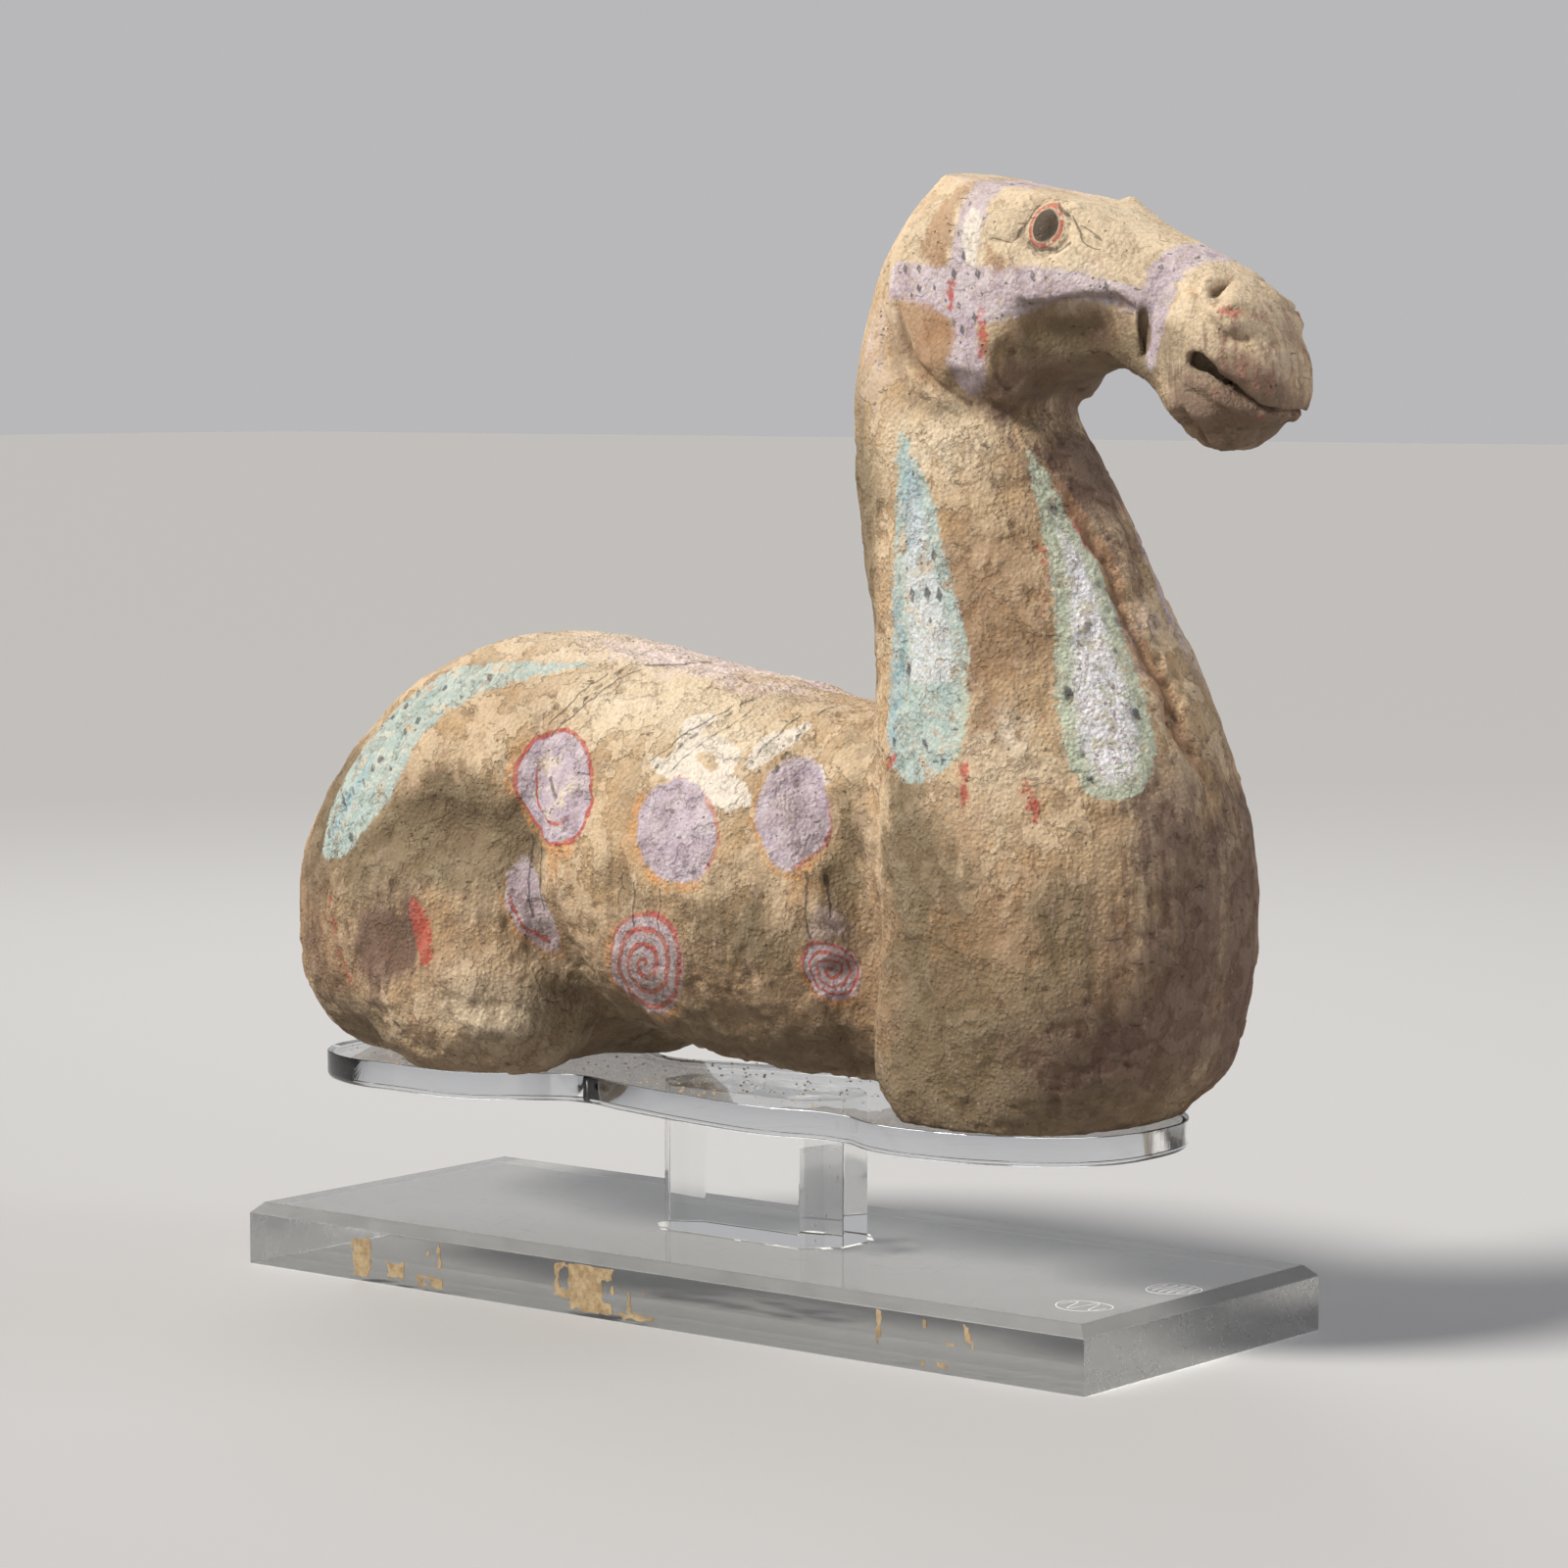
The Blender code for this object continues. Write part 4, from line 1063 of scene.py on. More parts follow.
class ClayPaint:
    """The clay's colour, laid on from the ground up to the last stroke."""

    def __init__(self, tree, point):
        self.tree = tree
        self.point = point
        self.colour = None
        self.ragged = tree.noise(point, *RAGGED)
        self.spots = tree.noise(point, *SPOTS)
        self.blotch = tree.noise(point, *BLOTCH)
        self.broad = tree.parts(tree.noise_node(point, *BROAD).outputs["Color"])
        self.cover = tree.noise(point, *COVER)
        self.slip = tree.step(self.cover, 0.49, 0.515)
        self.drips = tree.noise(tree.vector("MULTIPLY", point, DRIP_STRETCH), *DRIPS)
        self.streaks = tree.step(self.drips, 0.52, 0.64)
        self.find_sides()

    def find_sides(self):
        """Where each point lies in shares, drawn with a slightly unsteady hand."""
        tree = self.tree
        inputs = {"Vector": self.point, "Location": (0.0, 0.0, -FOOT / SHARE), "Scale": [1 / SHARE] * 3}
        shares = tree.named("ShaderNodeMapping", inputs).outputs["Vector"]
        hand = tree.noise_node(self.point, *UNSTEADY_HAND).outputs["Color"]
        drift = tree.vector("MULTIPLY", tree.vector("SUBTRACT", hand, [0.5] * 3), [HAND_REACH] * 3)
        drawn = tree.parts(tree.vector("ADD", shares, drift))
        self.side = tree.add("ShaderNodeCombineXYZ", drawn["X"], drawn["Z"]).outputs[0]
        self.near = tree.step(drawn["Y"], -1.0, 1.0, 1.0, 0.0)
        steady = tree.parts(shares)
        self.steady = tree.add("ShaderNodeCombineXYZ", steady["X"], steady["Z"]).outputs[0]
        self.outer = tree.step(tree.math("ABSOLUTE", steady["Y"]), 4.4, 5.4)
        self.head = tree.step(steady["Z"], 70.0, 80.0)

    def lay(self, mask, colour):
        self.colour = self.tree.mix(mask, self.colour, colour)

    def worn(self, inside, softness, wear):
        return self.tree.use(GROUPS["worn"], Inside=inside, Softness=softness, Wear=wear,
                             Ragged=self.ragged, Spots=self.spots)["Mask"]

    def marks(self, pigment, softness, wear):
        return self.worn(self.tree.attribute(pigment + "_marks"), softness, wear)

    def fleck(self, low, high):
        return self.tree.step(self.ragged, low, high)

    def lay_ground(self):
        """Bare clay, with the paler slip where it still holds."""
        tree = self.tree
        self.colour = tree.mix(tree.step(self.broad[0], 0.3, 0.6), CLAY_BROWN, CLAY)
        self.lay(tree.step(self.broad[1], 0.48, 0.7, 0.0, 0.5), CLAY_OCHRE)
        self.lay(tree.step(self.broad[2], 0.5, 0.7, 0.0, 0.45), CLAY_GREY)
        self.lay(tree.step(self.blotch, 0.45, 0.72, 0.0, 0.28), CLAY_PALE)
        self.lay(tree.product(self.slip, 0.3), CLAY_PALE)

    def lay_washes(self):
        """Stains and thin washes, some dark ones partly painted shade, broken up by the grain."""
        tree = self.tree
        breaks = tree.sum(tree.math("MULTIPLY_ADD", self.blotch, 0.35, -0.175),
                          tree.math("MULTIPLY_ADD", self.drips, 1.1, -0.55),
                          tree.math("MULTIPLY_ADD", self.ragged, 0.6, -0.3))
        for name, tint, strength in WASH_COLOURS:
            field = tree.math("ADD", tree.attribute(name + "_wash"), breaks)
            self.lay(tree.step(field, 0.1, 1.1, 0.0, strength), tint)
            if name == "plum":
                self.lay(tree.product(self.streaks, tree.step(field, 0.1, 0.8), 0.6), STREAK)

    def dots(self, cell, radius, lean, stretch):
        """Small lozenges of dark paint, scattered evenly."""
        tree = self.tree
        drawn = tree.turned(self.point, "Y_AXIS", lean)
        gap = tree.cells(tree.vector("MULTIPLY", drawn, (1.0, 0.8, stretch)), cell, metric="MANHATTAN",
                         randomness=0.45)
        return tree.inverse(tree.step(gap, radius * 0.75, radius * 1.3))

    def lay_marks(self):
        """The bridle, the drops on neck and rump, and the small patches."""
        tree = self.tree
        pale = tree.step(self.blotch, 0.38, 0.62)
        harness = self.marks("lavender", 0.6, 0.6)
        self.lay(tree.product(harness, 0.85), tree.mix(pale, LAVENDER, LAVENDER_PALE))
        place = tree.parts(self.side)
        studs = self.dots(*HARNESS_STUDS)
        self.lay(tree.product(harness, studs, tree.step(place["Y"], 80.0, 82.0), 0.85), HARNESS_DOTS)
        self.lay(tree.product(self.marks("umber", 0.7, 0.4), 0.75), UMBER)
        upper = tree.step(place["Y"], 46.0, 47.0)
        front = tree.step(place["X"], 37.0, 40.0)
        lozenges = tree.mix(upper, self.dots(*LEANING_LOZENGES), self.dots(*UPRIGHT_LOZENGES))
        field = tree.attribute("mint_marks")
        patches = tree.step(self.blotch, 0.54, 0.6, 1.0, 0.35)
        drop = tree.product(self.worn(field, 0.6, 0.55), patches)
        heart = tree.product(drop, tree.step(field, 1.0, 2.6))
        self.lay(tree.product(drop, 0.9), tree.mix(pale, MINT, MINT_PALE))
        self.lay(tree.product(drop, front, 0.6), LIME)
        self.lay(tree.product(self.marks("sky", 0.7, 0.5), 0.7), tree.mix(pale, SKY, SKY_PALE))
        gleam = tree.highest(tree.product(upper, 0.5), front)
        self.lay(tree.product(heart, tree.step(self.ragged, 0.36, 0.5), gleam, 0.95), HEART)
        losses = tree.product(tree.step(self.drips, 0.49, 0.55), tree.step(self.ragged, 0.52, 0.58))
        self.lay(tree.product(heart, losses, gleam, 0.7), STREAK)
        self.lay(tree.product(drop, tree.step(field, 0.4, 1.0), lozenges, 0.9), HARNESS_DOTS)
        self.lay(tree.product(self.marks("cream", 0.35, 0.1), 0.95), SLIP)
        self.lay(tree.product(self.marks("red", 0.6, 0.55), 0.85), RED)

    def band(self, rim, centre, half):
        """1 where the rim distance is within half of centre."""
        tree = self.tree
        away = tree.math("ABSOLUTE", tree.math("SUBTRACT", rim, centre))
        return tree.inverse(tree.step(away, half * 0.6, half * 1.3))

    def lay_roundels(self):
        """Lavender roundels with haloes, rings, a stripe and spirals of red."""
        tree = self.tree
        tint = tree.mix(tree.step(self.blotch, 0.35, 0.65), LAVENDER, LAVENDER_PALE)
        for kind, place, radii, lean in ROUNDELS:
            oval = tree.use(GROUPS["oval"], Side=self.side, Place=(*place, 0.0), Radii=(*radii, 1.0),
                            Lean=math.radians(lean))
            rim = oval["Rim"]
            offset = tree.vector("SUBTRACT", (*place, 0.0), self.side)
            low_rear = tree.step(tree.vector("DOT_PRODUCT", offset, (1.0, 1.0, 0.0)), -1.0, 3.0)
            self.lay(tree.product(self.band(rim, 1.08, 0.14), self.fleck(0.4, 0.6), low_rear, 0.7), ORANGE)
            inside = tree.math("MULTIPLY", tree.math("SUBTRACT", 1.0, rim), radii[1])
            field = self.worn(inside, 0.35, 0.45)
            self.lay(tree.product(field, 0.92 if kind in ("plain", "ringed") else 0.7), tint)
            if kind == "ringed":
                worn = tree.product(tree.inverse(tree.step(rim, 0.5, 0.9)), tree.step(self.blotch, 0.5, 0.6))
                self.lay(tree.product(worn, 0.7), CLAY_PALE)
                inner = tree.product(self.band(rim, 0.62, 0.035), low_rear)
                lines = tree.highest(self.band(rim, 1.0, 0.045), inner)
            elif kind == "spiral":
                winding = tree.math("SUBTRACT", tree.math("MULTIPLY", rim, 3.4), oval["Turn"])
                coil = tree.math("SINE", tree.math("MULTIPLY", winding, 2 * math.pi))
                lines = tree.product(tree.step(coil, 0.1, 0.6), tree.inverse(tree.step(rim, 1.0, 1.08)))
            elif kind == "striped":
                lines = tree.product(self.band(rim, 0.75, 0.08), tree.step(oval["Turn"], 0.15, 0.25))
            else:
                lines = tree.product(self.band(rim, 1.0, 0.05), tree.step(oval["Turn"], -0.2, -0.3), 0.7)
            self.lay(tree.product(lines, self.fleck(0.3, 0.5), 0.85), RED)

    def lay_eye(self):
        """Red-rimmed eye with a dark iris and gleams of pale slip."""
        tree = self.tree
        oval = tree.use(GROUPS["oval"], Side=self.steady, Place=(*EYE_PLACE, 0.0), Radii=(*EYE_RADII, 1.0),
                        Lean=0.0)
        rim = oval["Rim"]
        self.lay(tree.product(self.band(rim, 1.3, 0.2), self.fleck(0.44, 0.56), self.outer, 0.5), IRIS)
        self.lay(tree.product(tree.inverse(tree.step(rim, 0.9, 1.05)), self.outer), CLAY_PALE)
        iris = tree.product(tree.inverse(tree.step(rim, 0.7, 0.9)), tree.step(self.spots, 0.72, 0.62))
        self.lay(tree.product(iris, self.outer, 0.92), IRIS)
        self.lay(tree.product(self.band(rim, 0.95, 0.12), self.fleck(0.3, 0.46), self.outer, 0.85), EYE_RED)

    def lay_ink(self):
        tree = self.tree
        strokes = [tree.use(GROUPS["stroke"], Side=self.side, Start=(*start, 0.0), End=(*end, 0.0),
                            Half_Width=width, Dashes=dashes)["Mask"]
                   for start, end, width, dashes in INK_STROKES]
        self.lay(tree.product(tree.highest(*strokes), self.near, 0.62), INK)


def clay_material():
    """Low-fired clay with flaked slip, worn pigments, cracks and grime, with painted shade in dips, grain
    gaps and on faces that turn down, and painted highlights on grit and bumps.
    """
    material, tree, shader, point = new_material("painted_clay")
    paint = ClayPaint(tree, point)
    paint.lay_ground()
    paint.lay_washes()
    paint.lay_marks()
    paint.lay_roundels()

    grain = tree.use(GROUPS["grain"], Point=point)
    flattened = tree.vector("MULTIPLY", point, CREVICE_STRETCH)
    crevice = tree.step(tree.noise(flattened, *CREVICES), 0.655, 0.7)
    holes = tree.inverse(tree.step(tree.cells(point, HOLE_SPACING), 0.08, 0.2))
    holes = tree.product(holes, tree.step(paint.blotch, 0.52, 0.62))
    flake = tree.product(tree.step(paint.cover, 0.470, 0.492), tree.step(paint.cover, 0.512, 0.494))

    dips = tree.attribute("cavity")
    # Painted shade, darker in the dips, and painted highlight, paler on the bumps
    paint.lay(tree.product(tree.step(dips, 0.1, 0.9), 0.36), GRIME_AND_SHADE)
    paint.lay(tree.product(tree.step(dips, -0.08, -0.5), 0.08), CLAY_PALE)
    # Painted shade in the gaps between the grit, and a painted highlight on the grit
    paint.lay(tree.product(grain["Gaps"], 0.3), GRIME_AND_SHADE)
    paint.lay(tree.product(grain["Grit"], 0.06), CLAY_PALE)
    paint.lay_eye()
    paint.lay_ink()
    paint.lay(tree.product(flake, tree.blend(paint.head, 0.25, 0.16)), GRIME_AND_SHADE)
    paint.lay(tree.product(crevice, tree.blend(paint.head, 0.45, 0.25)), CRACK)
    paint.lay(tree.product(holes, 0.45), CRACK)
    normal = tree.add("ShaderNodeNewGeometry").outputs["Normal"]
    # Painted shade: darker on the faces that turn down
    paint.lay(tree.step(tree.parts(normal)["Z"], 0.0, -0.85, 0.0, 0.6), GRIME_AND_SHADE)
    dust = tree.use(GROUPS["dust"], Cloud=paint.broad[2], Normal=normal, Amount=0.15)["Mask"]
    paint.lay(dust, CLAY_PALE)
    less = tree.blend(paint.head, 1.0, 0.5)
    sand = tree.product(grain["Height"], tree.blend(paint.slip, 1.3, 0.9), less)
    layers = tree.sum(tree.product(paint.ragged, 0.7), tree.product(paint.blotch, 0.5),
                      tree.product(paint.slip, 0.7))
    height = tree.sum(sand, tree.product(less, layers), tree.product(crevice, -0.9),
                      tree.product(holes, -0.9))
    tree.fill(shader, {"Base Color": paint.colour, "Roughness": tree.blend(grain["Grit"], 0.96, 0.84),
                       "Specular IOR Level": 0.25, "Normal": tree.bump(height, 1.0, CLAY_RELIEF)})
    return material


def clear_block(node, softness, material):
    """A node's own form in clear acrylic, with its edges softened."""
    bm = merged_copy(node)
    bmesh.ops.dissolve_limit(bm, angle_limit=math.radians(1), verts=bm.verts, edges=bm.edges)
    bmesh.ops.bevel(bm, geom=bm.edges[:], offset=softness, segments=2, profile=0.5, affect="EDGES")
    bmesh.ops.recalc_face_normals(bm, faces=bm.faces)
    finish_clear(node, bm, material)


def finish_clear(node, bm, material):
    """The clear piece that takes a node's place."""
    name = node + "_clear"
    piece = add_object(name, finished_mesh(name, bm))
    piece.data.materials.append(material)
    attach(piece, "root")
    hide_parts(node)


def leave_on_stand(mesh, material):
    """A trace that lies on the acrylic and stays with it."""
    mesh.materials.append(material)
    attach(add_object(mesh.name, mesh), "root")


def plate_outline():
    """The plate's outline in metres, run round once with smooth curves."""
    far = [(along, -aside, corner) for along, aside, corner in PLATE_OUTLINE[-2:0:-1]]
    marks = PLATE_OUTLINE + far
    curve = bpy.data.curves.new("plate_outline", "CURVE")
    curve.dimensions = "2D"
    curve.fill_mode = "NONE"
    curve.resolution_u = PLATE_STEPS
    spline = curve.splines.new("BEZIER")
    spline.bezier_points.add(len(marks) - 1)
    spline.use_cyclic_u = True
    for point, (along, aside, corner) in zip(spline.bezier_points, marks):
        point.co = (along * SHARE, aside * SHARE, 0)
        point.handle_left_type = point.handle_right_type = "VECTOR" if corner else "AUTO"
    guide = add_object("plate_outline", curve)
    line = bpy.data.meshes.new_from_object(guide.evaluated_get(bpy.context.evaluated_depsgraph_get()))
    points = np.array([vert.co.xy for vert in line.vertices])
    bpy.data.objects.remove(guide)
    bpy.data.curves.remove(curve)
    bpy.data.meshes.remove(line)
    return points


def make_plate(material):
    """The plate: crisp upper edge, lower edge rounded to a quarter circle."""
    low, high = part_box("support_plate")
    points = plate_outline()
    run = np.roll(points, -1, axis=0) - np.roll(points, 1, axis=0)
    inward = np.stack([-run[:, 1], run[:, 0]], axis=1) / np.linalg.norm(run, axis=1)[:, None]
    inward *= np.sign(np.sum(inward * (points.mean(axis=0) - points)))
    turns = [step / EDGE_STEPS * math.pi / 2 for step in range(EDGE_STEPS + 1)]
    rings = [(PLATE_FOOT_EDGE * (1 - math.sin(turn)), low.z + PLATE_FOOT_EDGE * (1 - math.cos(turn)))
             for turn in turns]
    rings += [(PLATE_TOP_EDGE * (1 - math.cos(turn)), high.z - PLATE_TOP_EDGE * (1 - math.sin(turn)))
              for turn in turns[::2]]
    bm = bmesh.new()
    loops = [[bm.verts.new((*(point + inset * way), height)) for point, way in zip(points, inward)]
             for inset, height in rings]
    for lower, upper in zip(loops, loops[1:]):
        for index in range(len(lower)):
            bm.faces.new((lower[index - 1], lower[index], upper[index], upper[index - 1]))
    for cap in (loops[0], loops[-1]):
        bm.faces.new(cap)
    bmesh.ops.recalc_face_normals(bm, faces=bm.faces)
    for face in bm.faces:
        face.smooth = len(face.verts) == 4
    finish_clear("support_plate", bm, material)


def whole_cells(kept):
    """Grid cells with all four points kept, and none that touch at a corner alone."""
    cells = kept[:-1, :-1] & kept[1:, :-1] & kept[:-1, 1:] & kept[1:, 1:]
    lower_left, upper_left = cells[:-1, :-1], cells[:-1, 1:]
    lower_right, upper_right = cells[1:, :-1], cells[1:, 1:]
    while True:
        rising = lower_left & upper_right & ~upper_left & ~lower_right
        falling = upper_left & lower_right & ~lower_left & ~upper_right
        if not (rising | falling).any():
            return cells
        lower_left[rising] = False
        upper_left[falling] = False


def film_mesh(name, corner, across, up, reach, inside, thickness):
    """A thin dried film over a flat face, cut where inside falls below 0."""
    columns, rows = (max(2, round(length / FILM_CELL)) for length in reach)
    u, v = np.meshgrid(np.linspace(0, reach[0], columns), np.linspace(0, reach[1], rows), indexing="ij")
    cells = whole_cells(inside(u, v) > 0)
    across, up, corner = np.array(across), np.array(up), np.array(corner)
    bm = bmesh.new()
    made = {}

    def vert(i, j):
        if (i, j) not in made:
            made[i, j] = bm.verts.new(corner + u[i, j] * across + v[i, j] * up)
        return made[i, j]

    for i, j in np.argwhere(cells):
        bm.faces.new((vert(i, j), vert(i + 1, j), vert(i + 1, j + 1), vert(i, j + 1)))
    rim = [vert for vert in bm.verts if vert.is_boundary]
    for _ in range(2):
        bmesh.ops.smooth_vert(bm, verts=rim, factor=0.4, use_axis_x=True, use_axis_y=True, use_axis_z=True)
    raised = bmesh.ops.extrude_face_region(bm, geom=bm.faces[:])["geom"]
    raised = [part for part in raised if isinstance(part, bmesh.types.BMVert)]
    bmesh.ops.translate(bm, verts=raised, vec=Vector(np.cross(across, up) * thickness))
    bmesh.ops.recalc_face_normals(bm, faces=bm.faces)
    return finished_mesh(name, bm)


def box_inside(along, up, box):
    """How far places are inside a box, by its low and high corners."""
    left, low, right, high = box
    return np.minimum(np.minimum(along - left, right - along), np.minimum(up - low, high - up))


def make_films(material):
    """Dried brown adhesive left in patches on the slab's front face."""
    low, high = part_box("base_slab")
    for index, (boxes, holes) in enumerate(FILMS):
        corners = np.array(boxes)
        start = corners[:, :2].min(axis=0) - FILM_MARGIN
        reach = corners[:, 2:].max(axis=0) + FILM_MARGIN - start

        def inside(u, v):
            along, up = start[0] + u, start[1] + v
            field = np.max([box_inside(along, up, box) for box in boxes], axis=0)
            for hole in holes:
                field = np.minimum(field, -box_inside(along, up, hole))
            points = np.stack([along.ravel(), up.ravel(), np.full(along.size, index * 0.1)], axis=1)
            ragged = noise(points, FILM_GRAIN, SEEDS["films"], 3).reshape(along.shape)
            field = field + FILM_RAGGED * (ragged - 0.1)
            return np.where((up > FILM_LOWEST) & (up < FILM_HIGHEST), field, -1)

        mesh = film_mesh("dried_film_%d" % index, (start[0], low.y, start[1]), (1, 0, 0), (0, 0, 1),
                         reach, inside, FILM_THICKNESS)
        leave_on_stand(mesh, material)


def make_glue(material):
    """Glue dried in ripples between the post's foot and the slab."""
    low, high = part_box("support_post")
    reach = (high.x - low.x + 2 * GLUE_MARGIN, high.y - low.y + 2 * GLUE_MARGIN)

    def inside(u, v):
        points = np.stack([u.ravel() * GLUE_STRETCH, v.ravel(), np.zeros(u.size)], axis=1)
        ripples = noise(points, GLUE_RIPPLE, SEEDS["glue"], 3).reshape(u.shape)
        rim = np.minimum(np.minimum(u, reach[0] - u), np.minimum(v, reach[1] - v))
        cut = np.minimum(u, reach[0] - u) + np.minimum(v, reach[1] - v) - GLUE_CORNER
        return np.minimum(np.minimum(rim, cut) * 60 - 0.02, ripples + 0.08 + 12 * (GLUE_RIM - rim))

    mesh = film_mesh("dried_glue", (low.x - GLUE_MARGIN, low.y - GLUE_MARGIN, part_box("base_slab")[1].z),
                     (1, 0, 0), (0, 1, 0), reach, inside, GLUE_THICKNESS)
    leave_on_stand(mesh, material)


def ribbon(bm, path, height):
    """A flat narrow ribbon of equal width along a path on a level face."""
    run = np.gradient(path, axis=0)
    aside = np.stack([-run[:, 1], run[:, 0]], axis=1)
    aside *= SCRIBBLE_WIDTH / np.maximum(np.linalg.norm(aside, axis=1), 1e-9)[:, None]
    rows = []
    for point, offset in zip(path, aside):
        rows.append([bm.verts.new((*(point + side * offset), height + rise))
                     for side, rise in ((-1, 0), (-1, SCRIBBLE_HEIGHT), (1, SCRIBBLE_HEIGHT), (1, 0))])
    for before, after in zip(rows, rows[1:]):
        for k in range(4):
            bm.faces.new((before[k - 1], before[k], after[k], after[k - 1]))
    bm.faces.new(rows[0])
    bm.faces.new(rows[-1])


def make_scribbles(material):
    """Two scribbled rings on the slab's top, which aren't letters."""
    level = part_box("base_slab")[1].z
    for index, (middle, radii, strokes) in enumerate(SCRIBBLES):
        turn = np.linspace(0, 2.06 * math.pi, 60)
        wobble = 1 + 0.05 * np.sin(3 * turn + index) + 0.02 * turn / 6
        ring = np.stack([np.cos(turn) * wobble * radii[0], np.sin(turn) * wobble * radii[1]], axis=1)
        share = np.linspace(-0.85, 0.85, strokes * 8)
        swing = np.sin(share * strokes * 2.6 + index) * np.sqrt(1 - share ** 2) * 0.8
        inner = np.stack([share * radii[0], swing * radii[1]], axis=1)
        bm = bmesh.new()
        for path in (ring, inner):
            ribbon(bm, path + np.array(middle), level)
        bmesh.ops.recalc_face_normals(bm, faces=bm.faces)
        leave_on_stand(finished_mesh("scratched_ring_%d" % index, bm), material)


def crumb_tree(material):
    """Nodes that scatter crumbs of clay where no clay stands right above."""
    group = bpy.data.node_groups.new("scattered_crumbs", "GeometryNodeTree")
    sockets = {}
    for name, kind, default in (("Ground", "Geometry", None), ("Clay", "Object", None),
                                ("Density", "Float", CRUMB_DENSITY), ("Smallest", "Float", CRUMB_SIZES[0]),
                                ("Largest", "Float", CRUMB_SIZES[1]), ("Seed", "Int", CRUMB_SEED)):
        socket = group.interface.new_socket(name, in_out="INPUT", socket_type="NodeSocket" + kind)
        if default is not None:
            socket.default_value = default
        sockets[name] = socket.identifier
    group.interface.new_socket("Crumbs", in_out="OUTPUT", socket_type="NodeSocketGeometry")
    tree = Tree(group)
    given = tree.add("NodeGroupInput").outputs
    spread = tree.named("GeometryNodeDistributePointsOnFaces", {
        "Mesh": given["Ground"], "Density": given["Density"], "Seed": given["Seed"]})
    clay = tree.named("GeometryNodeObjectInfo", {"Object": given["Clay"]})
    cast = tree.named("GeometryNodeRaycast", {
        "Target Geometry": clay.outputs["Geometry"], "Ray Direction": (0, 0, 1),
        "Ray Length": CRUMB_HEADROOM})
    covered = tree.named("GeometryNodeDeleteGeometry", {
        "Geometry": spread.outputs["Points"], "Selection": cast.outputs["Is Hit"]})
    ball = tree.named("GeometryNodeMeshIcoSphere", {"Radius": 1.0, "Subdivisions": 1})
    sizes = tree.add("FunctionNodeRandomValue", None, None, given["Smallest"], given["Largest"],
                     data_type="FLOAT")
    tree.fill(sizes, {"Seed": given["Seed"]})
    squashed = tree.add("FunctionNodeRandomValue", *CRUMB_SQUASH, data_type="FLOAT_VECTOR")
    placed = tree.named("GeometryNodeInstanceOnPoints", {
        "Points": covered.outputs["Geometry"], "Instance": ball.outputs["Mesh"],
        "Scale": tree.scaled(squashed.outputs[0], sizes.outputs[1])})
    solid = tree.named("GeometryNodeRealizeInstances", {"Geometry": placed.outputs["Instances"]})
    dressed = tree.named("GeometryNodeSetMaterial", {
        "Geometry": solid.outputs["Geometry"], "Material": material})
    tree.named("NodeGroupOutput", {"Crumbs": dressed.outputs["Geometry"]})
    return group, sockets


def make_crumbs(clay, material):
    """Crumbs fallen from the clay onto the plate round its foot."""
    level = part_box("support_plate")[1].z
    points = plate_outline()
    middle = points.mean(axis=0)
    bm = bmesh.new()
    bm.faces.new([bm.verts.new((*(middle + (point - middle) * CRUMB_REACH), level)) for point in points])
    bmesh.ops.triangulate(bm, faces=bm.faces)
    piece = add_object("fallen_crumbs", finished_mesh("fallen_crumbs", bm))
    group, sockets = crumb_tree(material)
    scatter = piece.modifiers.new("Scatter", "NODES")
    scatter.node_group = group
    scatter[sockets["Clay"]] = clay
    scatter[sockets["Density"]] = CRUMB_DENSITY
    scatter[sockets["Seed"]] = CRUMB_SEED
    apply_modifiers(piece)
    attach(piece, "root")


def acrylic_material(name, bevel_haze, end_haze, scuffs):
    """Clear cast acrylic, dull where the saw and the file have left it."""
    material, tree, shader, point = new_material(name)
    facing = tree.vector("ABSOLUTE", tree.add("ShaderNodeNewGeometry").outputs["True Normal"])
    parts = tree.parts(facing)
    bevels = tree.product(tree.step(parts["Z"], 0.3, 0.5), tree.inverse(tree.step(parts["Z"], 0.85, 0.97)))
    ends = tree.step(parts["X"], 0.6, 0.9)
    cloud = tree.step(tree.noise(point, *HAZE), 0.25, 0.75, 0.6, 1.0)
    haze = tree.highest(tree.product(bevels, bevel_haze), tree.product(ends, end_haze))
    saw = tree.noise(tree.vector("MULTIPLY", point, SAW_STRETCH), *SAW_MARKS)
    scratch = tree.use(GROUPS["scratches"], Point=point, Amount=scuffs)["Mask"]
    rough = tree.sum(tree.product(haze, cloud), tree.product(scratch, 0.3), ACRYLIC_ROUGHNESS)
    traces = tree.sum(tree.product(saw, tree.highest(bevels, ends), 0.5), tree.product(scratch, -0.6))
    tree.fill(shader, {"Base Color": (*ACRYLIC, 1.0), "Transmission Weight": 1.0, "IOR": ACRYLIC_IOR,
                       "Roughness": rough, "Normal": tree.bump(traces, 0.25, TRACE_RELIEF)})
    clear = tree.named("ShaderNodeBsdfTransparent", {"Color": (*ACRYLIC_SHADOW, 1.0)})
    blend = tree.add("ShaderNodeMixShader", tree.add("ShaderNodeLightPath").outputs["Is Shadow Ray"],
                     shader.outputs["BSDF"], clear.outputs["BSDF"])
    tree.put(material.node_tree.nodes["Material Output"].inputs["Surface"], blend.outputs["Shader"])
    return material


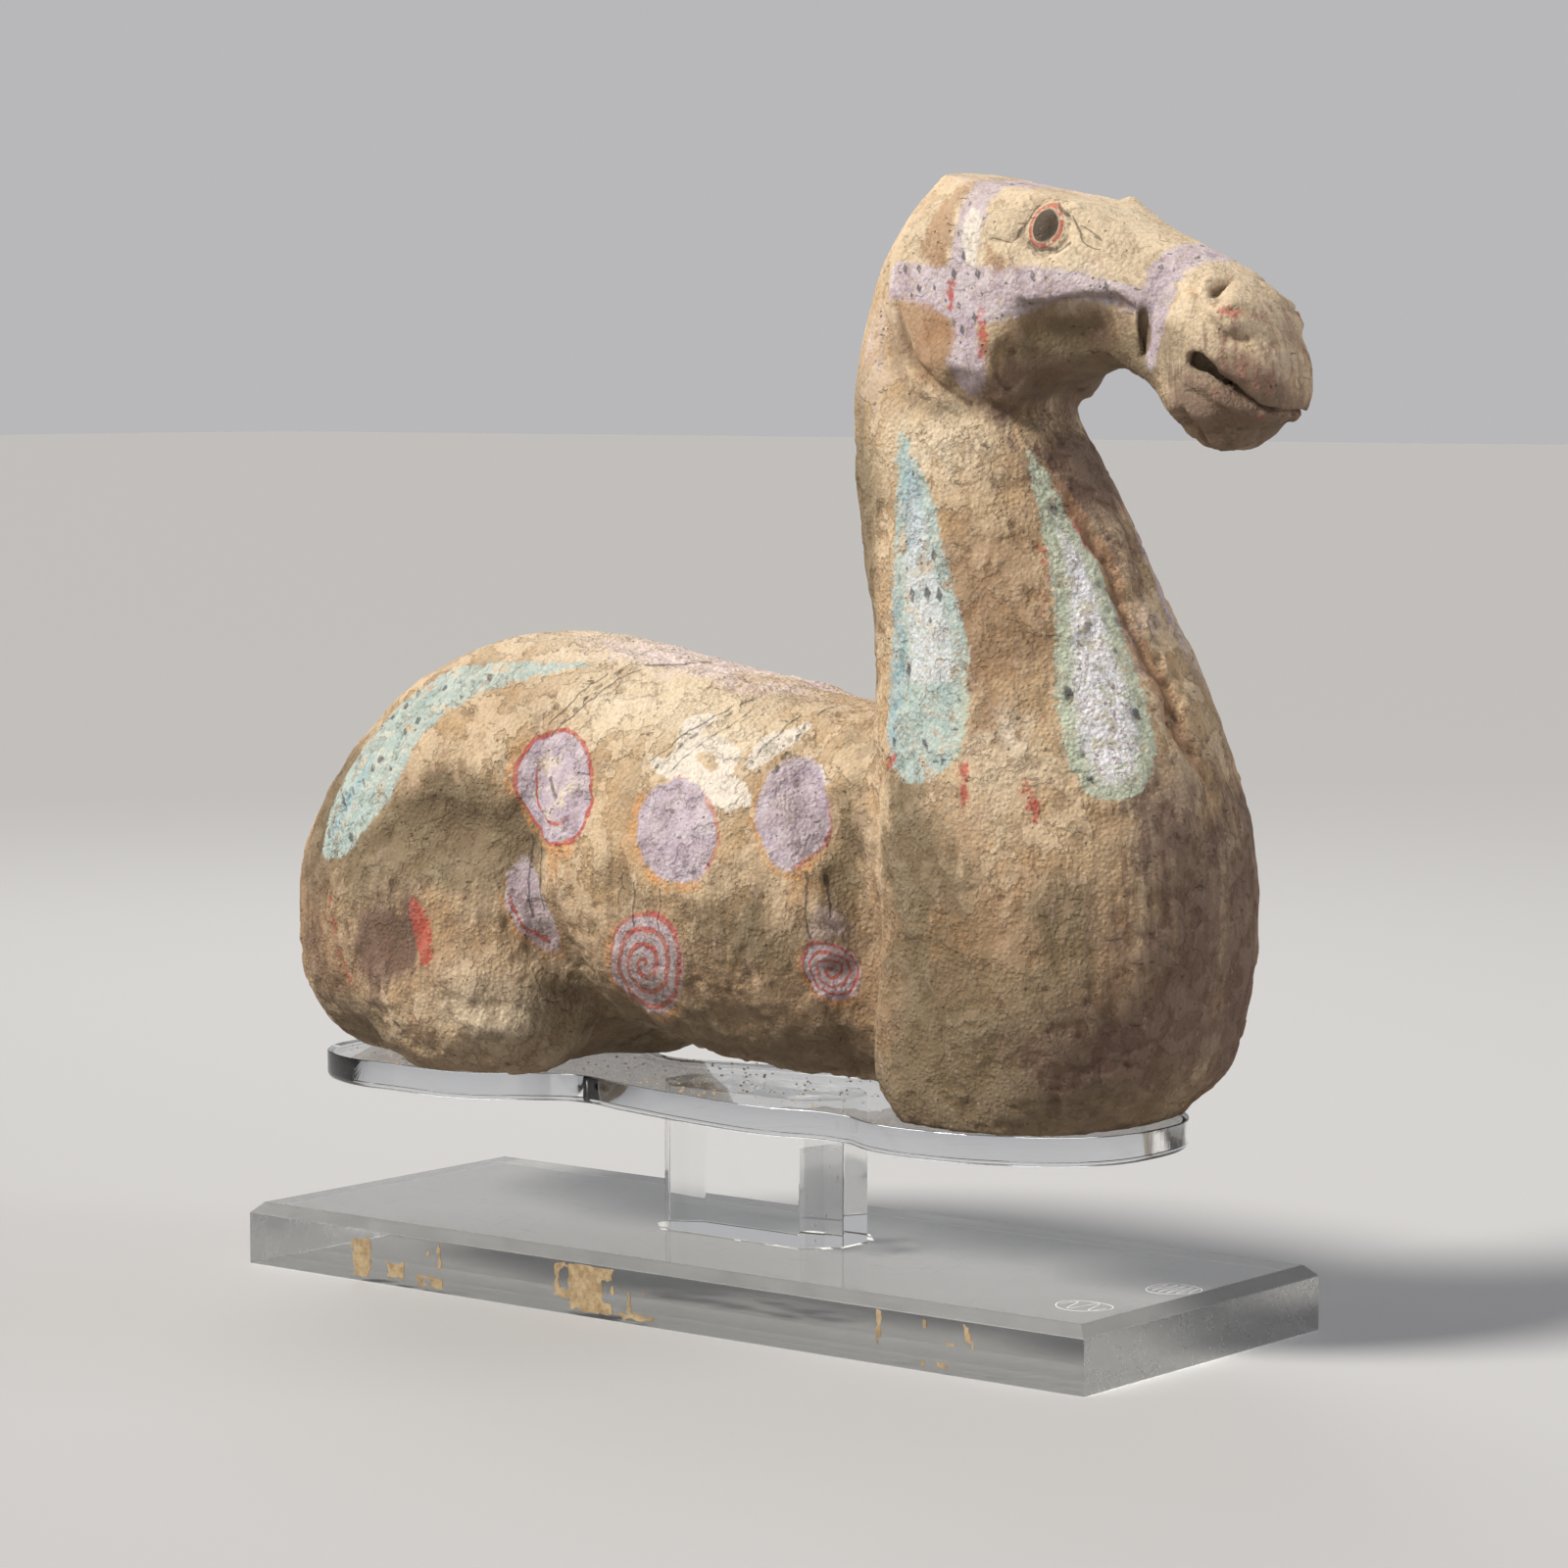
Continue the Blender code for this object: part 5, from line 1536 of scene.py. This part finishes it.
def adhesive_material():
    """Brown adhesive dried to a brittle, mottled skin."""
    material, tree, shader, point = new_material("dried_adhesive")
    mottle = tree.step(tree.noise(point, *MOTTLE), 0.35, 0.65)
    specks = tree.inverse(tree.step(tree.cells(point, SPECK_SPACING), 0.1, 0.25))
    colour = tree.mix(tree.product(specks, 0.6), tree.mix(mottle, ADHESIVE, ADHESIVE_PALE), ADHESIVE_SPECK)
    tree.fill(shader, {"Base Color": colour, "Roughness": tree.blend(mottle, 0.32, 0.55),
                       "Normal": tree.bump(tree.noise(point, *BRITTLE), 0.5, TRACE_RELIEF)})
    return material


def chalky_material(name, colour, roughness):
    """A pale dull trace left on the acrylic."""
    material, tree, shader, point = new_material(name)
    darker = tuple(value * 0.75 for value in colour)
    pale = tree.mix(tree.step(tree.noise(point, *CHALK_TINT), 0.3, 0.7), colour, darker)
    dull = tree.step(tree.noise(point, *CHALK_DULLNESS), 0.3, 0.7, roughness - 0.1, roughness + 0.1)
    tree.fill(shader, {"Base Color": pale, "Roughness": dull})
    return material


def crumb_material():
    material, tree, shader, point = new_material("clay_crumb")
    grain = tree.use(GROUPS["grain"], Point=point)
    tree.fill(shader, {"Base Color": tree.mix(grain["Grit"], CLAY, CLAY_PALE), "Roughness": 0.95})
    return material


def make_stand(clay):
    """Plate, post and slab of clear acrylic, with what is left on them."""
    plain = acrylic_material("clear_acrylic", 0.0, 0.0, 0.2)
    sawn = acrylic_material("sawn_acrylic", 0.45, 0.3, 0.4)
    clear_block("base_slab", SLAB_EDGE, sawn)
    clear_block("support_post", POST_EDGE, plain)
    make_plate(plain)
    make_films(adhesive_material())
    make_glue(chalky_material("dried_glue", GLUE, 0.4))
    make_scribbles(chalky_material("scratched_white", SCRATCHED_WHITE, 0.6))
    make_crumbs(clay, crumb_material())


def add_aimed(name, data, way, place=(0, 0, 0)):
    """A camera or a lamp that looks along way."""
    made = add_object(name, data)
    made.location = place
    made.rotation_euler = Vector(way).to_track_quat("-Z", "Y").to_euler()
    return made


def place_camera():
    """The photograph's view: lens, place and aim."""
    data = bpy.data.cameras.new("photo_view")
    data.lens = CAMERA_LENS
    data.sensor_width = CAMERA_SENSOR
    bpy.context.scene.camera = add_aimed("photo_view", data, CAMERA_AIM, CAMERA_PLACE)


def light_studio():
    """Plain pale floor, soft key, cooler rim and fill."""
    scene = bpy.context.scene
    bm = bmesh.new()
    bmesh.ops.create_grid(bm, x_segments=1, y_segments=1, size=FLOOR_SIZE / 2)
    floor = add_object("floor", finished_mesh("floor", bm))
    material, tree, shader, point = new_material("pale_floor")
    tree.fill(shader, {"Base Color": (*FLOOR_COLOUR, 1.0), "Roughness": FLOOR_ROUGHNESS})
    floor.data.materials.append(material)
    key = bpy.data.lights.new("key", "SUN")
    key.energy = KEY_STRENGTH
    key.angle = math.radians(KEY_SOFTNESS)
    key.color = KEY_COLOUR
    add_aimed("key", key, -Vector(KEY_FROM))
    for index, (place, size, power, colour) in enumerate(SOFTBOXES):
        light = bpy.data.lights.new("softbox_%d" % index, "AREA")
        light.energy = power
        light.size = size
        light.color = colour
        add_aimed(light.name, light, Vector(SOFTBOX_AIM) - Vector(place), place)
    world = bpy.data.worlds.new("studio")
    scene.world = world
    world.use_nodes = True
    tree = Tree(world.node_tree)
    height = tree.parts(tree.add("ShaderNodeTexCoord").outputs["Generated"])["Z"]
    shade = tree.mix(tree.step(height, 0.05, 0.6), HORIZON_LIGHT, ZENITH_LIGHT)
    tree.put(world.node_tree.nodes["Background"].inputs["Color"], shade)
    scene.view_settings.view_transform = "Standard"


place_camera()
light_studio()
make_stand(make_horse(clay_material()))
